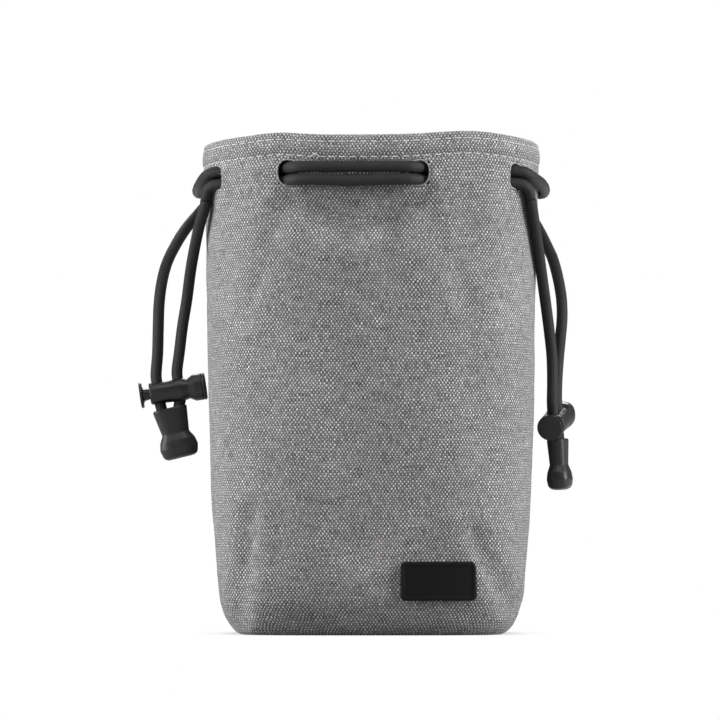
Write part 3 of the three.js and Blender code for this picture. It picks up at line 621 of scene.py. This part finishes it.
def relief(degrees, z):
    """How far the cloth stands out: marks, hem rows, slit lips and seams."""
    flat = wall(degrees, z, 0)
    x, y = flat[..., 0], flat[..., 1]
    radius = np.hypot(x, y)
    out = np.zeros_like(x)
    for mirror in (1, -1):
        out += np.where(y * mirror < 0, front_marks(x * mirror, z), 0)
    hem = (z > HEM_FOOT) & (z < HEM_TOP)
    for row in STITCH_ROWS:
        out -= GROOVE_DEPTH * hump(z, row, GROOVE_WIDTH) * hem
    out += SWELL_HEIGHT * hump(z, HEM_MIDDLE, SWELL_WIDTH) * hem
    for slit, at_side in ALL_SLITS:
        run = arc_from(degrees, slit, radius)
        out += LIP_HEIGHT * hump(np.abs(run), LIP_OUT, LIP_WIDTH) * hump(z, SLIT_MIDDLE, LIP_TALL, 4)
        if at_side:
            out -= NOTCH_DEPTH * hump(run, 0, SEAM_WIDTH) * (z > NOTCH_FOOT)
    for seam in HALF_TURNS:
        out -= SEAM_DEPTH * hump(arc_from(degrees, seam, radius), 0, SEAM_WIDTH) * (z < SEAM_TOP)
    return out


def rim_lift(x, y, z):
    """The rim isn't level: at the front it is a little higher on both sides of its middle."""
    front, back = (sum(height * hump(x, place, width) for height, place, width in lifts)
                   for lifts in (FRONT_LIFTS, BACK_LIFTS))
    return np.where(y < 0, front, back) * eased((z - LIFT_FOOT) / LIFT_REACH)


# Unevenness of the padding: height, patch size round and up, and where the noise starts
RUMPLES = [(0.95, 24, 42, 5), (0.28, 10, 15, 9), (0.06, 4, 5, 0)]
CALM_FOOT, CALM_HEM, HEM_CALM = 12, 165, 0.45


def uneven(layers, x, y, z):
    return sum(height * noise.noise(Vector((x / wide, y / wide, z / tall + start)))
               for height, wide, tall, start in layers)


rumple = np.zeros((len(profile), COLUMNS))
for r in range(wall_start, rim_start):
    z = profile[r][1]
    calm = min(1, z / CALM_FOOT) * (1 if z < CALM_HEM else HEM_CALM)
    for c, (x, y, _) in enumerate(wall(angles, z, 0)):
        rumple[r, c] = calm * uneven(RUMPLES, x, y, z)

# Simulated creases
LABEL = (10.2, 36.6, 12.2, 25.8)  # left, right, bottom, top
LABEL_CALM = 6
SIM_COLUMNS, SIM_ROWS = 128, 60
SIM_FOOT, SIM_TOP = 2, 170
SIM_FRAMES = 20
FOOT_HELD, HEM_HELD, WALL_PINNED = 5, 164, 0.04
FINE_SPREAD, COARSE_SPREAD = (1, 1), (8, 7)
CREASE_GAIN, CREASE_LIMIT = 1.4, 0.9
SIDE_FADE, SIDE_CALM = 4.5, 0.25
CREASE_HEIGHTS, CREASE_SHARES = [0, 12, 140, 152], [0, 1, 1, 0.25]
sim_angles = 180 + np.arange(SIM_COLUMNS) * 360 / SIM_COLUMNS
sim_heights = np.linspace(SIM_FOOT, SIM_TOP, SIM_ROWS)
sim_creases = np.zeros((SIM_ROWS, SIM_COLUMNS))


def spread_out(field, columns, rows):
    """Average over neighbouring columns and rows."""
    ringed = sum(np.roll(field, k, 1) for k in range(-columns, columns + 1)) / (2 * columns + 1)
    stacked = np.pad(ringed, ((rows, rows), (0, 0)), mode="edge")
    return sum(stacked[k:k + len(field)] for k in range(2 * rows + 1)) / (2 * rows + 1)


def settle(shell):
    """The wall's cloth, a little larger than the pouch, settles over its padding and buckles."""
    pins = shell.vertex_groups.new(name="pins")
    for r, z in enumerate(sim_heights):
        hold = 1.0 if z < FOOT_HELD or z > HEM_HELD else WALL_PINNED
        pins.add(list(range(r * SIM_COLUMNS, (r + 1) * SIM_COLUMNS)), hold, "REPLACE")
    cloth = shell.modifiers.new("cloth", "CLOTH")
    settings = cloth.settings
    settings.quality = 6
    settings.mass = 0.25
    settings.tension_stiffness = 25
    settings.compression_stiffness = 25
    settings.shear_stiffness = 12
    settings.bending_stiffness = 6
    settings.vertex_group_mass = "pins"
    settings.pin_stiffness = 1.0
    settings.shrink_min = -0.035
    settings.effector_weights.gravity = 0.25
    cloth.point_cache.frame_start = 1
    cloth.point_cache.frame_end = SIM_FRAMES
    for step in range(1, SIM_FRAMES + 1):
        bpy.context.scene.frame_set(step)
    settled_shell = shell.evaluated_get(bpy.context.evaluated_depsgraph_get())
    moved, _ = arrays_of(settled_shell.data)
    bpy.context.scene.frame_set(1)
    return moved


def simulate():
    """Creases of the settled cloth, calmer at the sides, at the label and at both ends."""
    rest = np.stack([wall(sim_angles, z, 0) for z in sim_heights])
    shell = new_mesh("cloth_trial", rest.reshape(-1, 3), band_faces(SIM_ROWS, SIM_COLUMNS))
    moved = settle(shell).reshape(rest.shape)
    bpy.data.objects.remove(shell)
    outwards = np.stack([wall(sim_angles, z, -1) for z in sim_heights]) - rest
    rise = ((moved - rest) * outwards).sum(-1)
    creases = CREASE_GAIN * (spread_out(rise, *FINE_SPREAD) - spread_out(rise, *COARSE_SPREAD))
    creases = np.clip(creases, -CREASE_LIMIT, CREASE_LIMIT)
    x, y, z = np.moveaxis(rest, -1, 0)
    creases *= np.clip(SIDE_FADE * (1 - np.abs(x) / np.abs(x).max(axis=1, keepdims=True)), SIDE_CALM, 1)
    left, right, bottom, top = LABEL
    past_x, past_z = np.maximum(left - x, x - right), np.maximum(bottom - z, z - top)
    label_off = np.hypot(np.maximum(past_x, 0), np.maximum(past_z, 0))
    near_label = np.where(y < 0, hump(label_off, 0, LABEL_CALM), 0)
    return creases * (1 - near_label) * np.interp(z, CREASE_HEIGHTS, CREASE_SHARES)


sim_creases = simulate()


def settled(degrees, z):
    """How far the simulated cloth stands out."""
    column = np.mod(degrees - 180, 360) / 360 * SIM_COLUMNS
    row = np.interp(z, sim_heights, np.arange(SIM_ROWS))
    c0 = np.floor(column).astype(int) % SIM_COLUMNS
    c1 = (c0 + 1) % SIM_COLUMNS
    r0 = np.clip(np.floor(row).astype(int), 0, SIM_ROWS - 2)
    fc, fr = column - np.floor(column), row - r0
    low, high = (sim_creases[r, c0] * (1 - fc) + sim_creases[r, c1] * fc for r in (r0, r0 + 1))
    return low * (1 - fr) + high * fr


def rumple_at(degrees, z):
    row = np.interp(z, wall_heights, np.arange(len(wall_heights))) + wall_start
    column = (degrees - 180) / 360 * COLUMNS
    return rumple[int(round(float(row))), int(round(float(column))) % COLUMNS]


def cloth_at(degrees, z, proud=0.0):
    """A point on the finished cloth, or standing out of it."""
    out = float(relief(np.array(degrees), np.array(z)) + settled(degrees, z)) + rumple_at(degrees, z)
    point = wall(degrees, z, -out - proud)
    return point + np.array([0, 0, float(rim_lift(*point))])


# The cloth's grid; cords that change places push the facing in, in two hidden corners
BULGE, BULGE_STEEPNESS = 3.9, 1.4
BULGE_TOP, BULGE_REACH = 172.4, 7.4
RELIEF_TOP = 172.4
FADE_ROWS = 4


def crossing(degrees):
    start, end = SLITS["right_front"], SLITS["right_side"]
    share = np.clip((np.mod(degrees, 180) + 180 - start) / (end - start), 0, 1)
    return eased(BULGE_STEEPNESS * np.sin(np.pi * share))


grid = np.zeros((len(profile), COLUMNS, 3))
for r, (depth, z) in enumerate(profile):
    out = np.zeros(COLUMNS)
    if r >= wall_start:
        fade = 1 if r < rim_start else max(0.0, 1 - (r - rim_start) / FADE_ROWS)
        out = relief(angles, np.full(COLUMNS, min(z, RELIEF_TOP)))
        out = (out + settled(angles, min(z, SIM_TOP)) + rumple[min(r, rim_start - 1)]) * fade
    if r >= facing_start:
        out = out - BULGE * crossing(angles) * eased((BULGE_TOP - z) / BULGE_REACH)
    grid[r] = wall(angles, z, depth - out)
    grid[r, :, 2] += rim_lift(grid[r, :, 0], grid[r, :, 1], grid[r, :, 2])

# Lengths for the weave: round each half from its middle, and up the profile
STRAIGHT_FOOT = 9
flat_rows = np.array([wall(angles, max(z, STRAIGHT_FOOT), 0) for _, z in profile])
steps_round = np.linalg.norm(np.roll(flat_rows, -1, axis=1) - flat_rows, axis=-1)
run_round = np.concatenate([np.zeros((len(profile), 1)), np.cumsum(steps_round, axis=1)], axis=1)
half_middle = np.where(np.arange(COLUMNS + 1) <= 2 * QUARTER, QUARTER, 3 * QUARTER)
span_u = run_round - run_round[:, half_middle]
span_v = np.concatenate([[0], np.cumsum([math.dist(a, b) for a, b in zip(profile, profile[1:])])])
span_v -= span_v[wall_start]

# Slits in the cloth: rounded oblongs, wider than the cord, in which the share is below 1
SLIT_ROWS, SLIT_CUT, FAR_FROM_SLITS = 8, 0.93, 9.0
BASE_UV_STEP, BASE_UV = 0.05, -60.0


def slit_share(degrees, z):
    best = FAR_FROM_SLITS
    for slit, _ in ALL_SLITS:
        along = abs(arc_from(degrees, slit, wall_radius(slit, SLIT_MIDDLE))) / SLIT_HALF[0]
        up = abs(z - SLIT_MIDDLE) / SLIT_HALF[1]
        best = min(best, (along ** SLIT_SQUARE + up ** SLIT_SQUARE) ** (1 / SLIT_SQUARE))
    return best


def drop_loose_vertices(mesh):
    shape = bmesh.new()
    shape.from_mesh(mesh)
    bmesh.ops.delete(shape, geom=[v for v in shape.verts if not v.link_faces], context="VERTS")
    shape.to_mesh(mesh)
    shape.free()


def build_cloth():
    shares = np.full(grid.shape[:2], FAR_FROM_SLITS)
    for r in range(wall_start, rim_start):
        if abs(profile[r][1] - SLIT_MIDDLE) < SLIT_ROWS:
            shares[r] = [slit_share(degrees, profile[r][1]) for degrees in angles]
    faces, corner_uvs = [], []
    for r in range(len(profile) - 1):
        for c in range(COLUMNS):
            n = (c + 1) % COLUMNS
            corners = ((r, c), (r, n), (r + 1, n), (r + 1, c))
            if min(shares[k] for k in corners) < SLIT_CUT:
                continue
            faces.append(tuple(a * COLUMNS + b for a, b in corners))
            wrap = [span_u[r, c], span_u[r, c + 1], span_u[r + 1, c + 1], span_u[r + 1, c]]
            if c == 2 * QUARTER:
                # the second half starts at its own seam
                wrap[0], wrap[3] = -span_u[r, c], -span_u[r + 1, c]
            corner_uvs.extend(zip(wrap, [span_v[r], span_v[r], span_v[r + 1], span_v[r + 1]]))
    faces.append(tuple(reversed(range(COLUMNS))))
    corner_uvs.extend((BASE_UV_STEP * k, BASE_UV) for k in range(COLUMNS))
    piece = new_mesh("pouch_cloth", grid.reshape(-1, 3), faces)
    layer = piece.data.uv_layers.new(name="UVMap")
    layer.data.foreach_set("uv", np.asarray(corner_uvs, dtype=np.float32).ravel())
    drop_loose_vertices(piece.data)
    piece.data.polygons.foreach_set("use_smooth", [True] * len(piece.data.polygons))
    return piece


pouch_cloth = build_cloth()
dress(pouch_cloth, cloth_material)
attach(pouch_cloth, "pouch")
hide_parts("outer_front_panel", "outer_back_panel", "base_panel")

# Cut edges of the slits, just below the cloth's surface, with short threads that stand out
EDGE_POINTS, EDGE_RADIUS, EDGE_UNEVEN, EDGE_SUNK = 45, 0.38, 0.06, 0.2
EDGE_THREADS, THREAD_RADIUS, THREAD_DRIFT, THREAD_REACH = 16, 0.09, 0.9, (0.5, 1.1)
rng = np.random.default_rng(7)


def slit_ring(slit):
    radius = wall_radius(slit, SLIT_MIDDLE)
    ring = []
    for t in np.linspace(0, math.tau, EDGE_POINTS):
        cos, sin = math.cos(t), math.sin(t)
        dx = SLIT_HALF[0] * math.copysign(abs(cos) ** (2 / SLIT_SQUARE), cos)
        dz = SLIT_HALF[1] * math.copysign(abs(sin) ** (2 / SLIT_SQUARE), sin)
        ring.append(cloth_at(slit + math.degrees(dx / radius), SLIT_MIDDLE + dz, -EDGE_SUNK))
    return ring


def loose_thread(ring):
    start = ring[int(rng.uniform(0, EDGE_POINTS - 1))]
    away = start / np.linalg.norm(start[:2]) * np.array([1, 1, 0])
    side = np.array([-away[1], away[0], 0])
    across, up = rng.uniform(-THREAD_DRIFT, THREAD_DRIFT, 2)
    drift = across * side + np.array([0, 0, up])
    reach = rng.uniform(*THREAD_REACH)
    line = [start, start + 0.5 * reach * away + 0.3 * drift, start + 0.8 * reach * away + 0.9 * drift]
    return tube_arrays(line, THREAD_RADIUS, 5)


edge_parts = []
for slit, _ in ALL_SLITS:
    ring = slit_ring(slit)
    edge_parts.append(tube_arrays(ring, EDGE_RADIUS + EDGE_UNEVEN * rng.standard_normal(len(ring)), 8))
    edge_parts += [loose_thread(ring) for _ in range(EDGE_THREADS)]
slit_edges = new_mesh("slit_edges", *joined(edge_parts))
dress(slit_edges, cut_thread)
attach(slit_edges, "pouch")

# Hem stitching, and a loose tail of thread where the seam was closed
STITCH_PITCH, STITCH_HALF = 3.7, 1.38
STITCH_RADII = [0.14, 0.2, 0.23, 0.24, 0.23, 0.2, 0.14]
STITCH_CROWN, STITCH_SUNK, STITCH_WOBBLE = 0.34, 0.18, 0.08
TAIL_START, TAIL_HEIGHT, TAIL_RADIUS = 249.0, 167.1, 0.22
TAIL = [(0, 0, 0.1), (0.4, 0.5, 0.7), (1.0, 0.9, 0.9), (1.8, 0.4, 0.8), (2.3, -0.3, 0.5)]
round_angles = np.linspace(0, 360, 721)
stitch_parts = []
for row in STITCH_ROWS:
    ring = wall(round_angles, row, 0)
    run = np.concatenate([[0], np.cumsum(np.linalg.norm(np.diff(ring, axis=0), axis=1))])
    count = int(run[-1] / STITCH_PITCH)
    for k in range(count):
        middle = (k + 0.5) * run[-1] / count
        line = []
        for share in np.linspace(-1, 1, len(STITCH_RADII)):
            degrees = float(np.interp(middle + share * STITCH_HALF, run, round_angles))
            proud = STITCH_CROWN * (1 - abs(share) ** 3) - STITCH_SUNK
            wobble = STITCH_WOBBLE * math.sin(k * 1.7) * share
            line.append(cloth_at(degrees, row + wobble, proud))
        stitch_parts.append(tube_arrays(line, STITCH_RADII, 6))
tail = [cloth_at(TAIL_START + turn, TAIL_HEIGHT + rise, proud) for turn, rise, proud in TAIL]
stitch_parts.append(tube_arrays(smooth_line(tail, 0.4)[0], TAIL_RADIUS, 6))
hem_stitches = new_mesh("hem_stitches", *joined(stitch_parts))
dress(hem_stitches, thread)
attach(hem_stitches, "pouch")

# Lining and padding
LINING_COLUMNS = 160
LINING_BASE = [(34, 8.05), (24, 8.15), (16, 8.1), (11, 8.2), (9.2, 8.8), (8.3, 10.6)]  # depth, height
LINING_SPAN = (14, 154, 4.0)
LINING_DEPTH = 7.9
LINING_TOP = (7.6, 154.2)
LINING_RIPPLES = [(0.48, 1 / 2.6, 30, 0), (0.21, 1 / 7, 11, 4)]
LINING_SEAM_DEPTH, LINING_SEAM_WIDTH = 0.5, 1.4
PADDING = 4.6


def lining_ring(degrees, z):
    """The lining ripples over its padding, and is drawn in at its two side seams."""
    ripple = np.array([uneven(LINING_RIPPLES, math.cos(a), math.sin(a), z) for a in np.radians(degrees)])
    from_seam = np.minimum(np.mod(degrees, 180), 180 - np.mod(degrees, 180))
    seam = LINING_SEAM_DEPTH * hump(from_seam, 0, LINING_SEAM_WIDTH)
    return wall(degrees, z, LINING_DEPTH + ripple - seam)


lining_angles = np.arange(LINING_COLUMNS) * 360 / LINING_COLUMNS
lining_rings = [wall(lining_angles, z, depth) for depth, z in LINING_BASE]
lining_rings += [lining_ring(lining_angles, z) for z in np.arange(*LINING_SPAN)]
lining_rings.append(wall(lining_angles, LINING_TOP[1], LINING_TOP[0]))
lining_faces = [tuple(range(LINING_COLUMNS))] + band_faces(len(lining_rings), LINING_COLUMNS, flip=True)
lining = new_mesh("padded_lining", np.concatenate(lining_rings), lining_faces)
skin = lining.modifiers.new("thickness", "SOLIDIFY")
skin.thickness = PADDING * MM
skin.offset = -1
dress(lining, lining_material)
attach(lining, "pouch")
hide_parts("lining_front", "lining_back", "base_lining", "foam_front", "foam_back", "base_foam")

# Label patch: a bare moulded frame with a recessed field
LABEL_COLUMNS, LABEL_ROWS = 56, 30
LABEL_CORNER = 1.6
LABEL_SEAT, LABEL_RISE, LABEL_BEVEL = 0.25, 1.45, 0.45
FIELD_START, FIELD_SINK, FIELD_STEEPNESS = 1.25, 0.42, 9


def front_point(x, z, proud):
    """A place on the front wall, whose angle is found by halving its range."""
    low, high = 200.0, 340.0
    for _ in range(40):
        middle = (low + high) / 2
        if wall(middle, z, 0)[0] < x:
            low = middle
        else:
            high = middle
    return np.array([cloth_at(middle, z)[0], wall(middle, z, 0)[1] - proud, z])


def label_point(px, pz, half_x, half_z):
    """Draws a grid point in at the corners, and gives how far it stands out."""
    flat_x, flat_z = half_x - LABEL_CORNER, half_z - LABEL_CORNER
    past_x, past_z = abs(px) - flat_x, abs(pz) - flat_z
    if past_x > 0 and past_z > 0:
        scale = max(past_x, past_z) / math.hypot(past_x, past_z)
        past_x, past_z = past_x * scale, past_z * scale
        px = math.copysign(flat_x + past_x, px)
        pz = math.copysign(flat_z + past_z, pz)
    edge = LABEL_CORNER - math.hypot(max(past_x, 0), max(past_z, 0)) - min(max(past_x, past_z), 0)
    raised = LABEL_RISE * min(1, max(edge, 0) / LABEL_BEVEL) ** 0.5
    field = 1 / (1 + math.exp(-(edge - FIELD_START) * FIELD_STEEPNESS))
    return px, pz, LABEL_SEAT + raised - FIELD_SINK * field


def label_piece():
    left, right, bottom, top = LABEL
    middle_x, middle_z = (left + right) / 2, (bottom + top) / 2
    half_x, half_z = (right - left) / 2, (top - bottom) / 2
    verts, faces = [], []
    for pz in np.linspace(-half_z, half_z, LABEL_ROWS + 1):
        for px in np.linspace(-half_x, half_x, LABEL_COLUMNS + 1):
            x, z, proud = label_point(px, pz, half_x, half_z)
            verts.append(front_point(middle_x + x, middle_z + z, proud))
    for r in range(LABEL_ROWS):
        for c in range(LABEL_COLUMNS):
            a = r * (LABEL_COLUMNS + 1) + c
            faces.append((a, a + 1, a + LABEL_COLUMNS + 2, a + LABEL_COLUMNS + 1))
    return new_mesh("label_frame", verts, faces)


label = label_piece()
dress(label, rubber)
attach(label, "pouch")
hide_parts("label_patch")

# Locks and cord ends: the CAD solids with softened edges
CLIPS = {"left": ((-72.6, 0, 81), -14, 0), "right": ((67.2, 0, 69.9), -3, 78.5)}  # place, pitch, yaw
LOCKS = {"left": ((-72.8, 0, 87), -8.4, 0), "right": ((66.4, 0, 76), -14, 76)}
VOXEL = 0.2
CLIP_ROUNDS, LOCK_ROUNDS = 5, 4
SEAM_NEAR, SEAM_LAP, SEAM_GAP = 0.2, 0.08, 0.02
BARREL_END = 12.3
CAP_GAP, CLOSED_GAP = 0.3, 0.03


def solid_of(node):
    return arrays_of(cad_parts[node].data)


def rounded(points, faces, name, rounds):
    """A moulding's surface remeshed finely and relaxed, which rounds its edges."""
    rough = new_mesh(name + "_rough", points, faces)
    remesh = rough.modifiers.new("remesh", "REMESH")
    remesh.mode = "VOXEL"
    remesh.voxel_size = VOXEL * MM
    smooth = rough.modifiers.new("smooth", "SMOOTH")
    smooth.factor = 0.5
    smooth.iterations = rounds
    fine = arrays_of(rough.evaluated_get(bpy.context.evaluated_depsgraph_get()).to_mesh())
    bpy.data.objects.remove(rough)
    return fine


def turned(pitch, yaw, yaw_first):
    """Columns are a hanging piece's own X, Y and Z axes."""
    p, w = math.radians(pitch), math.radians(yaw)
    tilt = np.array([[math.cos(p), 0, math.sin(p)], [0, 1, 0], [-math.sin(p), 0, math.cos(p)]])
    spin = np.array([[math.cos(w), -math.sin(w), 0], [math.sin(w), math.cos(w), 0], [0, 0, 1]])
    return tilt @ spin if yaw_first else spin @ tilt


def cut_behind(mesh, place, normal):
    """Keeps what lies behind a plane."""
    shape = bmesh.new()
    shape.from_mesh(mesh)
    whole = shape.verts[:] + shape.edges[:] + shape.faces[:]
    bmesh.ops.bisect_plane(shape, geom=whole, dist=1e-7, plane_co=place, plane_no=normal, clear_outer=True)
    shape.to_mesh(mesh)
    shape.free()


def moulded_piece(node, points, faces, body, cut=None):
    piece = new_mesh(node + "_moulded", points, faces)
    if cut:
        cut_behind(piece.data, *cut)
    dress(piece, plastic)
    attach(piece, body)
    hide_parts(node)
    return piece


def clip_pieces(side):
    """Both shells of a cord end: closed up and rounded as one body, then parted at the seam."""
    at, pitch, yaw = CLIPS[side]
    axes = turned(pitch, yaw, True)
    points, faces = [], []
    for half, lap in (("front", SEAM_LAP), ("back", -SEAM_LAP)):
        verts, shape = solid_of(f"{side}_clip_{half}")
        local = (verts - at) @ axes
        local[:, 1] = np.where(np.abs(local[:, 1]) < SEAM_NEAR, lap, local[:, 1])
        faces += [tuple(k + len(points) for k in face) for face in shape]
        points += list(local @ axes.T + at)
    verts, shape = rounded(points, faces, f"{side}_clip", CLIP_ROUNDS)
    seam = Vector(axes[:, 1])
    pieces = {}
    for half, sign in (("front", -1), ("back", 1)):
        node = f"{side}_clip_{half}"
        cut = Vector(at) * MM + seam * (SEAM_GAP * sign * MM), seam * -sign
        pieces[node] = moulded_piece(node, verts, shape, f"{side}_tassel", cut)
    return pieces


def lock_pieces(side):
    """Barrel, button and end cap of a lock; the cap's rim closes on the barrel."""
    at, pitch, yaw = LOCKS[side]
    axes = turned(pitch, yaw, False)
    for part, body in (("barrel", "lock"), ("end_cap", "lock"), ("plunger", "plunger")):
        node = f"{side}_lock_{part}"
        verts, shape = solid_of(node)
        if part == "end_cap":
            local = (verts - at) @ axes
            rim = np.abs(local[:, 0] - BARREL_END - CAP_GAP) < 0.02
            local[:, 0] -= np.where(rim, CAP_GAP - CLOSED_GAP, 0)
            verts = local @ axes.T + at
        moulded_piece(node, *rounded(verts, shape, node, LOCK_ROUNDS), f"{side}_{body}")


def spring_piece(side):
    """The lock's spring: the CAD coil in steel, with a mesh of its own."""
    node = f"{side}_lock_spring"
    verts, shape = solid_of(node)
    spring = new_mesh(node + "_coil", verts, shape)
    dress(spring, steel)
    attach(spring, f"{side}_lock")
    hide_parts(node)
    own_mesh(spring)


# Knots inside the cord ends
KNOT_SHARE, KNOT_POINTS, KNOT_RADIUS = 0.62, 60, 1.15


def knot_piece(side):
    low, high = (np.array(tuple(c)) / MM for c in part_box(f"{side}_cord_knot"))
    middle, half = (low + high) / 2, (high - low) / 2 * KNOT_SHARE
    t = np.linspace(0, math.tau, KNOT_POINTS)
    x, z = (np.sin(t) + 2 * np.sin(2 * t)) / 3, (np.cos(t) - 2 * np.cos(2 * t)) / 3
    loop = np.stack([x, np.cos(3 * t) / 2, z], axis=-1)
    knot = new_mesh(f"{side}_knot", *tube_arrays(middle + half * loop, KNOT_RADIUS, 12))
    dress(knot, cord_material)
    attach(knot, f"{side}_tassel")
    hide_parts(f"{side}_cord_knot")
    return knot


for side in SIDES:
    clip_pieces(side)
    lock_pieces(side)
    spring_piece(side)
for side in SIDES:
    knot_piece(side)

for leg_node, (piece, line, length) in legs.items():
    side = leg_node.split("_")[0]

# Floor and backdrop: white to the camera, but they throw little light on the pouch
FLOOR_HALF = 3000
PAPER_TONES = (0.12, 0.8)
NEAR, FAR = 0.05, 0.072  # metres from the pouch's middle, where the paper goes over to white
AMBIENT = 0.16


def paper_material():
    g = Material("floor_paper", 0.9)
    x, y, _ = g.parts(g.place("Object"))
    squares = g.plus(g.times(x, x), g.times(y, y))
    far = g.spread(g.math("SQRT", squares), NEAR, FAR)
    seen = g.seen_by("Camera", "Glossy", "Transmission")
    g.put(g.shader.inputs["Base Color"], g.mix(seen, *PAPER_TONES))
    white = g.node("ShaderNodeEmission", (1, 1, 1, 1), 1.0).outputs[0]
    share = g.times(seen, g.mix(far, 0.5, 1.0))
    both = g.node("ShaderNodeMixShader", share, g.shader.outputs[0], white).outputs[0]
    output = next(n for n in g.tree.nodes if n.type == "OUTPUT_MATERIAL")
    g.put(output.inputs["Surface"], both)
    return g.material


def studio_world():
    world = bpy.data.worlds.new("studio")
    world.use_nodes = True
    world.node_tree.nodes.clear()
    g = Nodes(world.node_tree)
    ambient, backdrop = (
        g.node("ShaderNodeBackground", (1, 1, 1, 1), strength).outputs[0] for strength in (AMBIENT, 1.0))
    both = g.node("ShaderNodeMixShader", g.seen_by("Camera", "Transmission"), ambient, backdrop)
    g.node("ShaderNodeOutputWorld", both.outputs[0])
    return world


floor_corners = [(x * FLOOR_HALF, y * FLOOR_HALF, 0) for x, y in ((-1, -1), (1, -1), (1, 1), (-1, 1))]
floor = new_mesh("floor", floor_corners, [(0, 1, 2, 3)])
dress(floor, paper_material())
bpy.context.scene.world = studio_world()

# Lamps: name, place, what they point at, size and power
LAMPS = [
    ("left_box", (-0.95, -0.25, 0.24), (0, 0, 0.09), (0.5, 0.9), 15.5),
    ("right_box", (0.95, -0.25, 0.24), (0, 0, 0.09), (0.5, 0.9), 15.5),
    ("back_top", (0.0, 0.85, 0.75), (0, 0, 0.09), (0.7, 0.5), 9),
    ("front_top", (0.0, -0.65, 1.2), (0, 0, 0.1), (0.8, 0.5), 8.2)]
for name, place, aim, size, power in LAMPS:
    lamp = bpy.data.lights.new(name, "AREA")
    lamp.shape = "RECTANGLE"
    lamp.size, lamp.size_y = size
    lamp.energy = power
    light = bpy.data.objects.new(name, lamp)
    light.location = place
    light.rotation_euler = (Vector(aim) - Vector(place)).to_track_quat("-Z", "Y").to_euler()
    bpy.context.scene.collection.objects.link(light)

bpy.context.scene.view_settings.view_transform = "Standard"
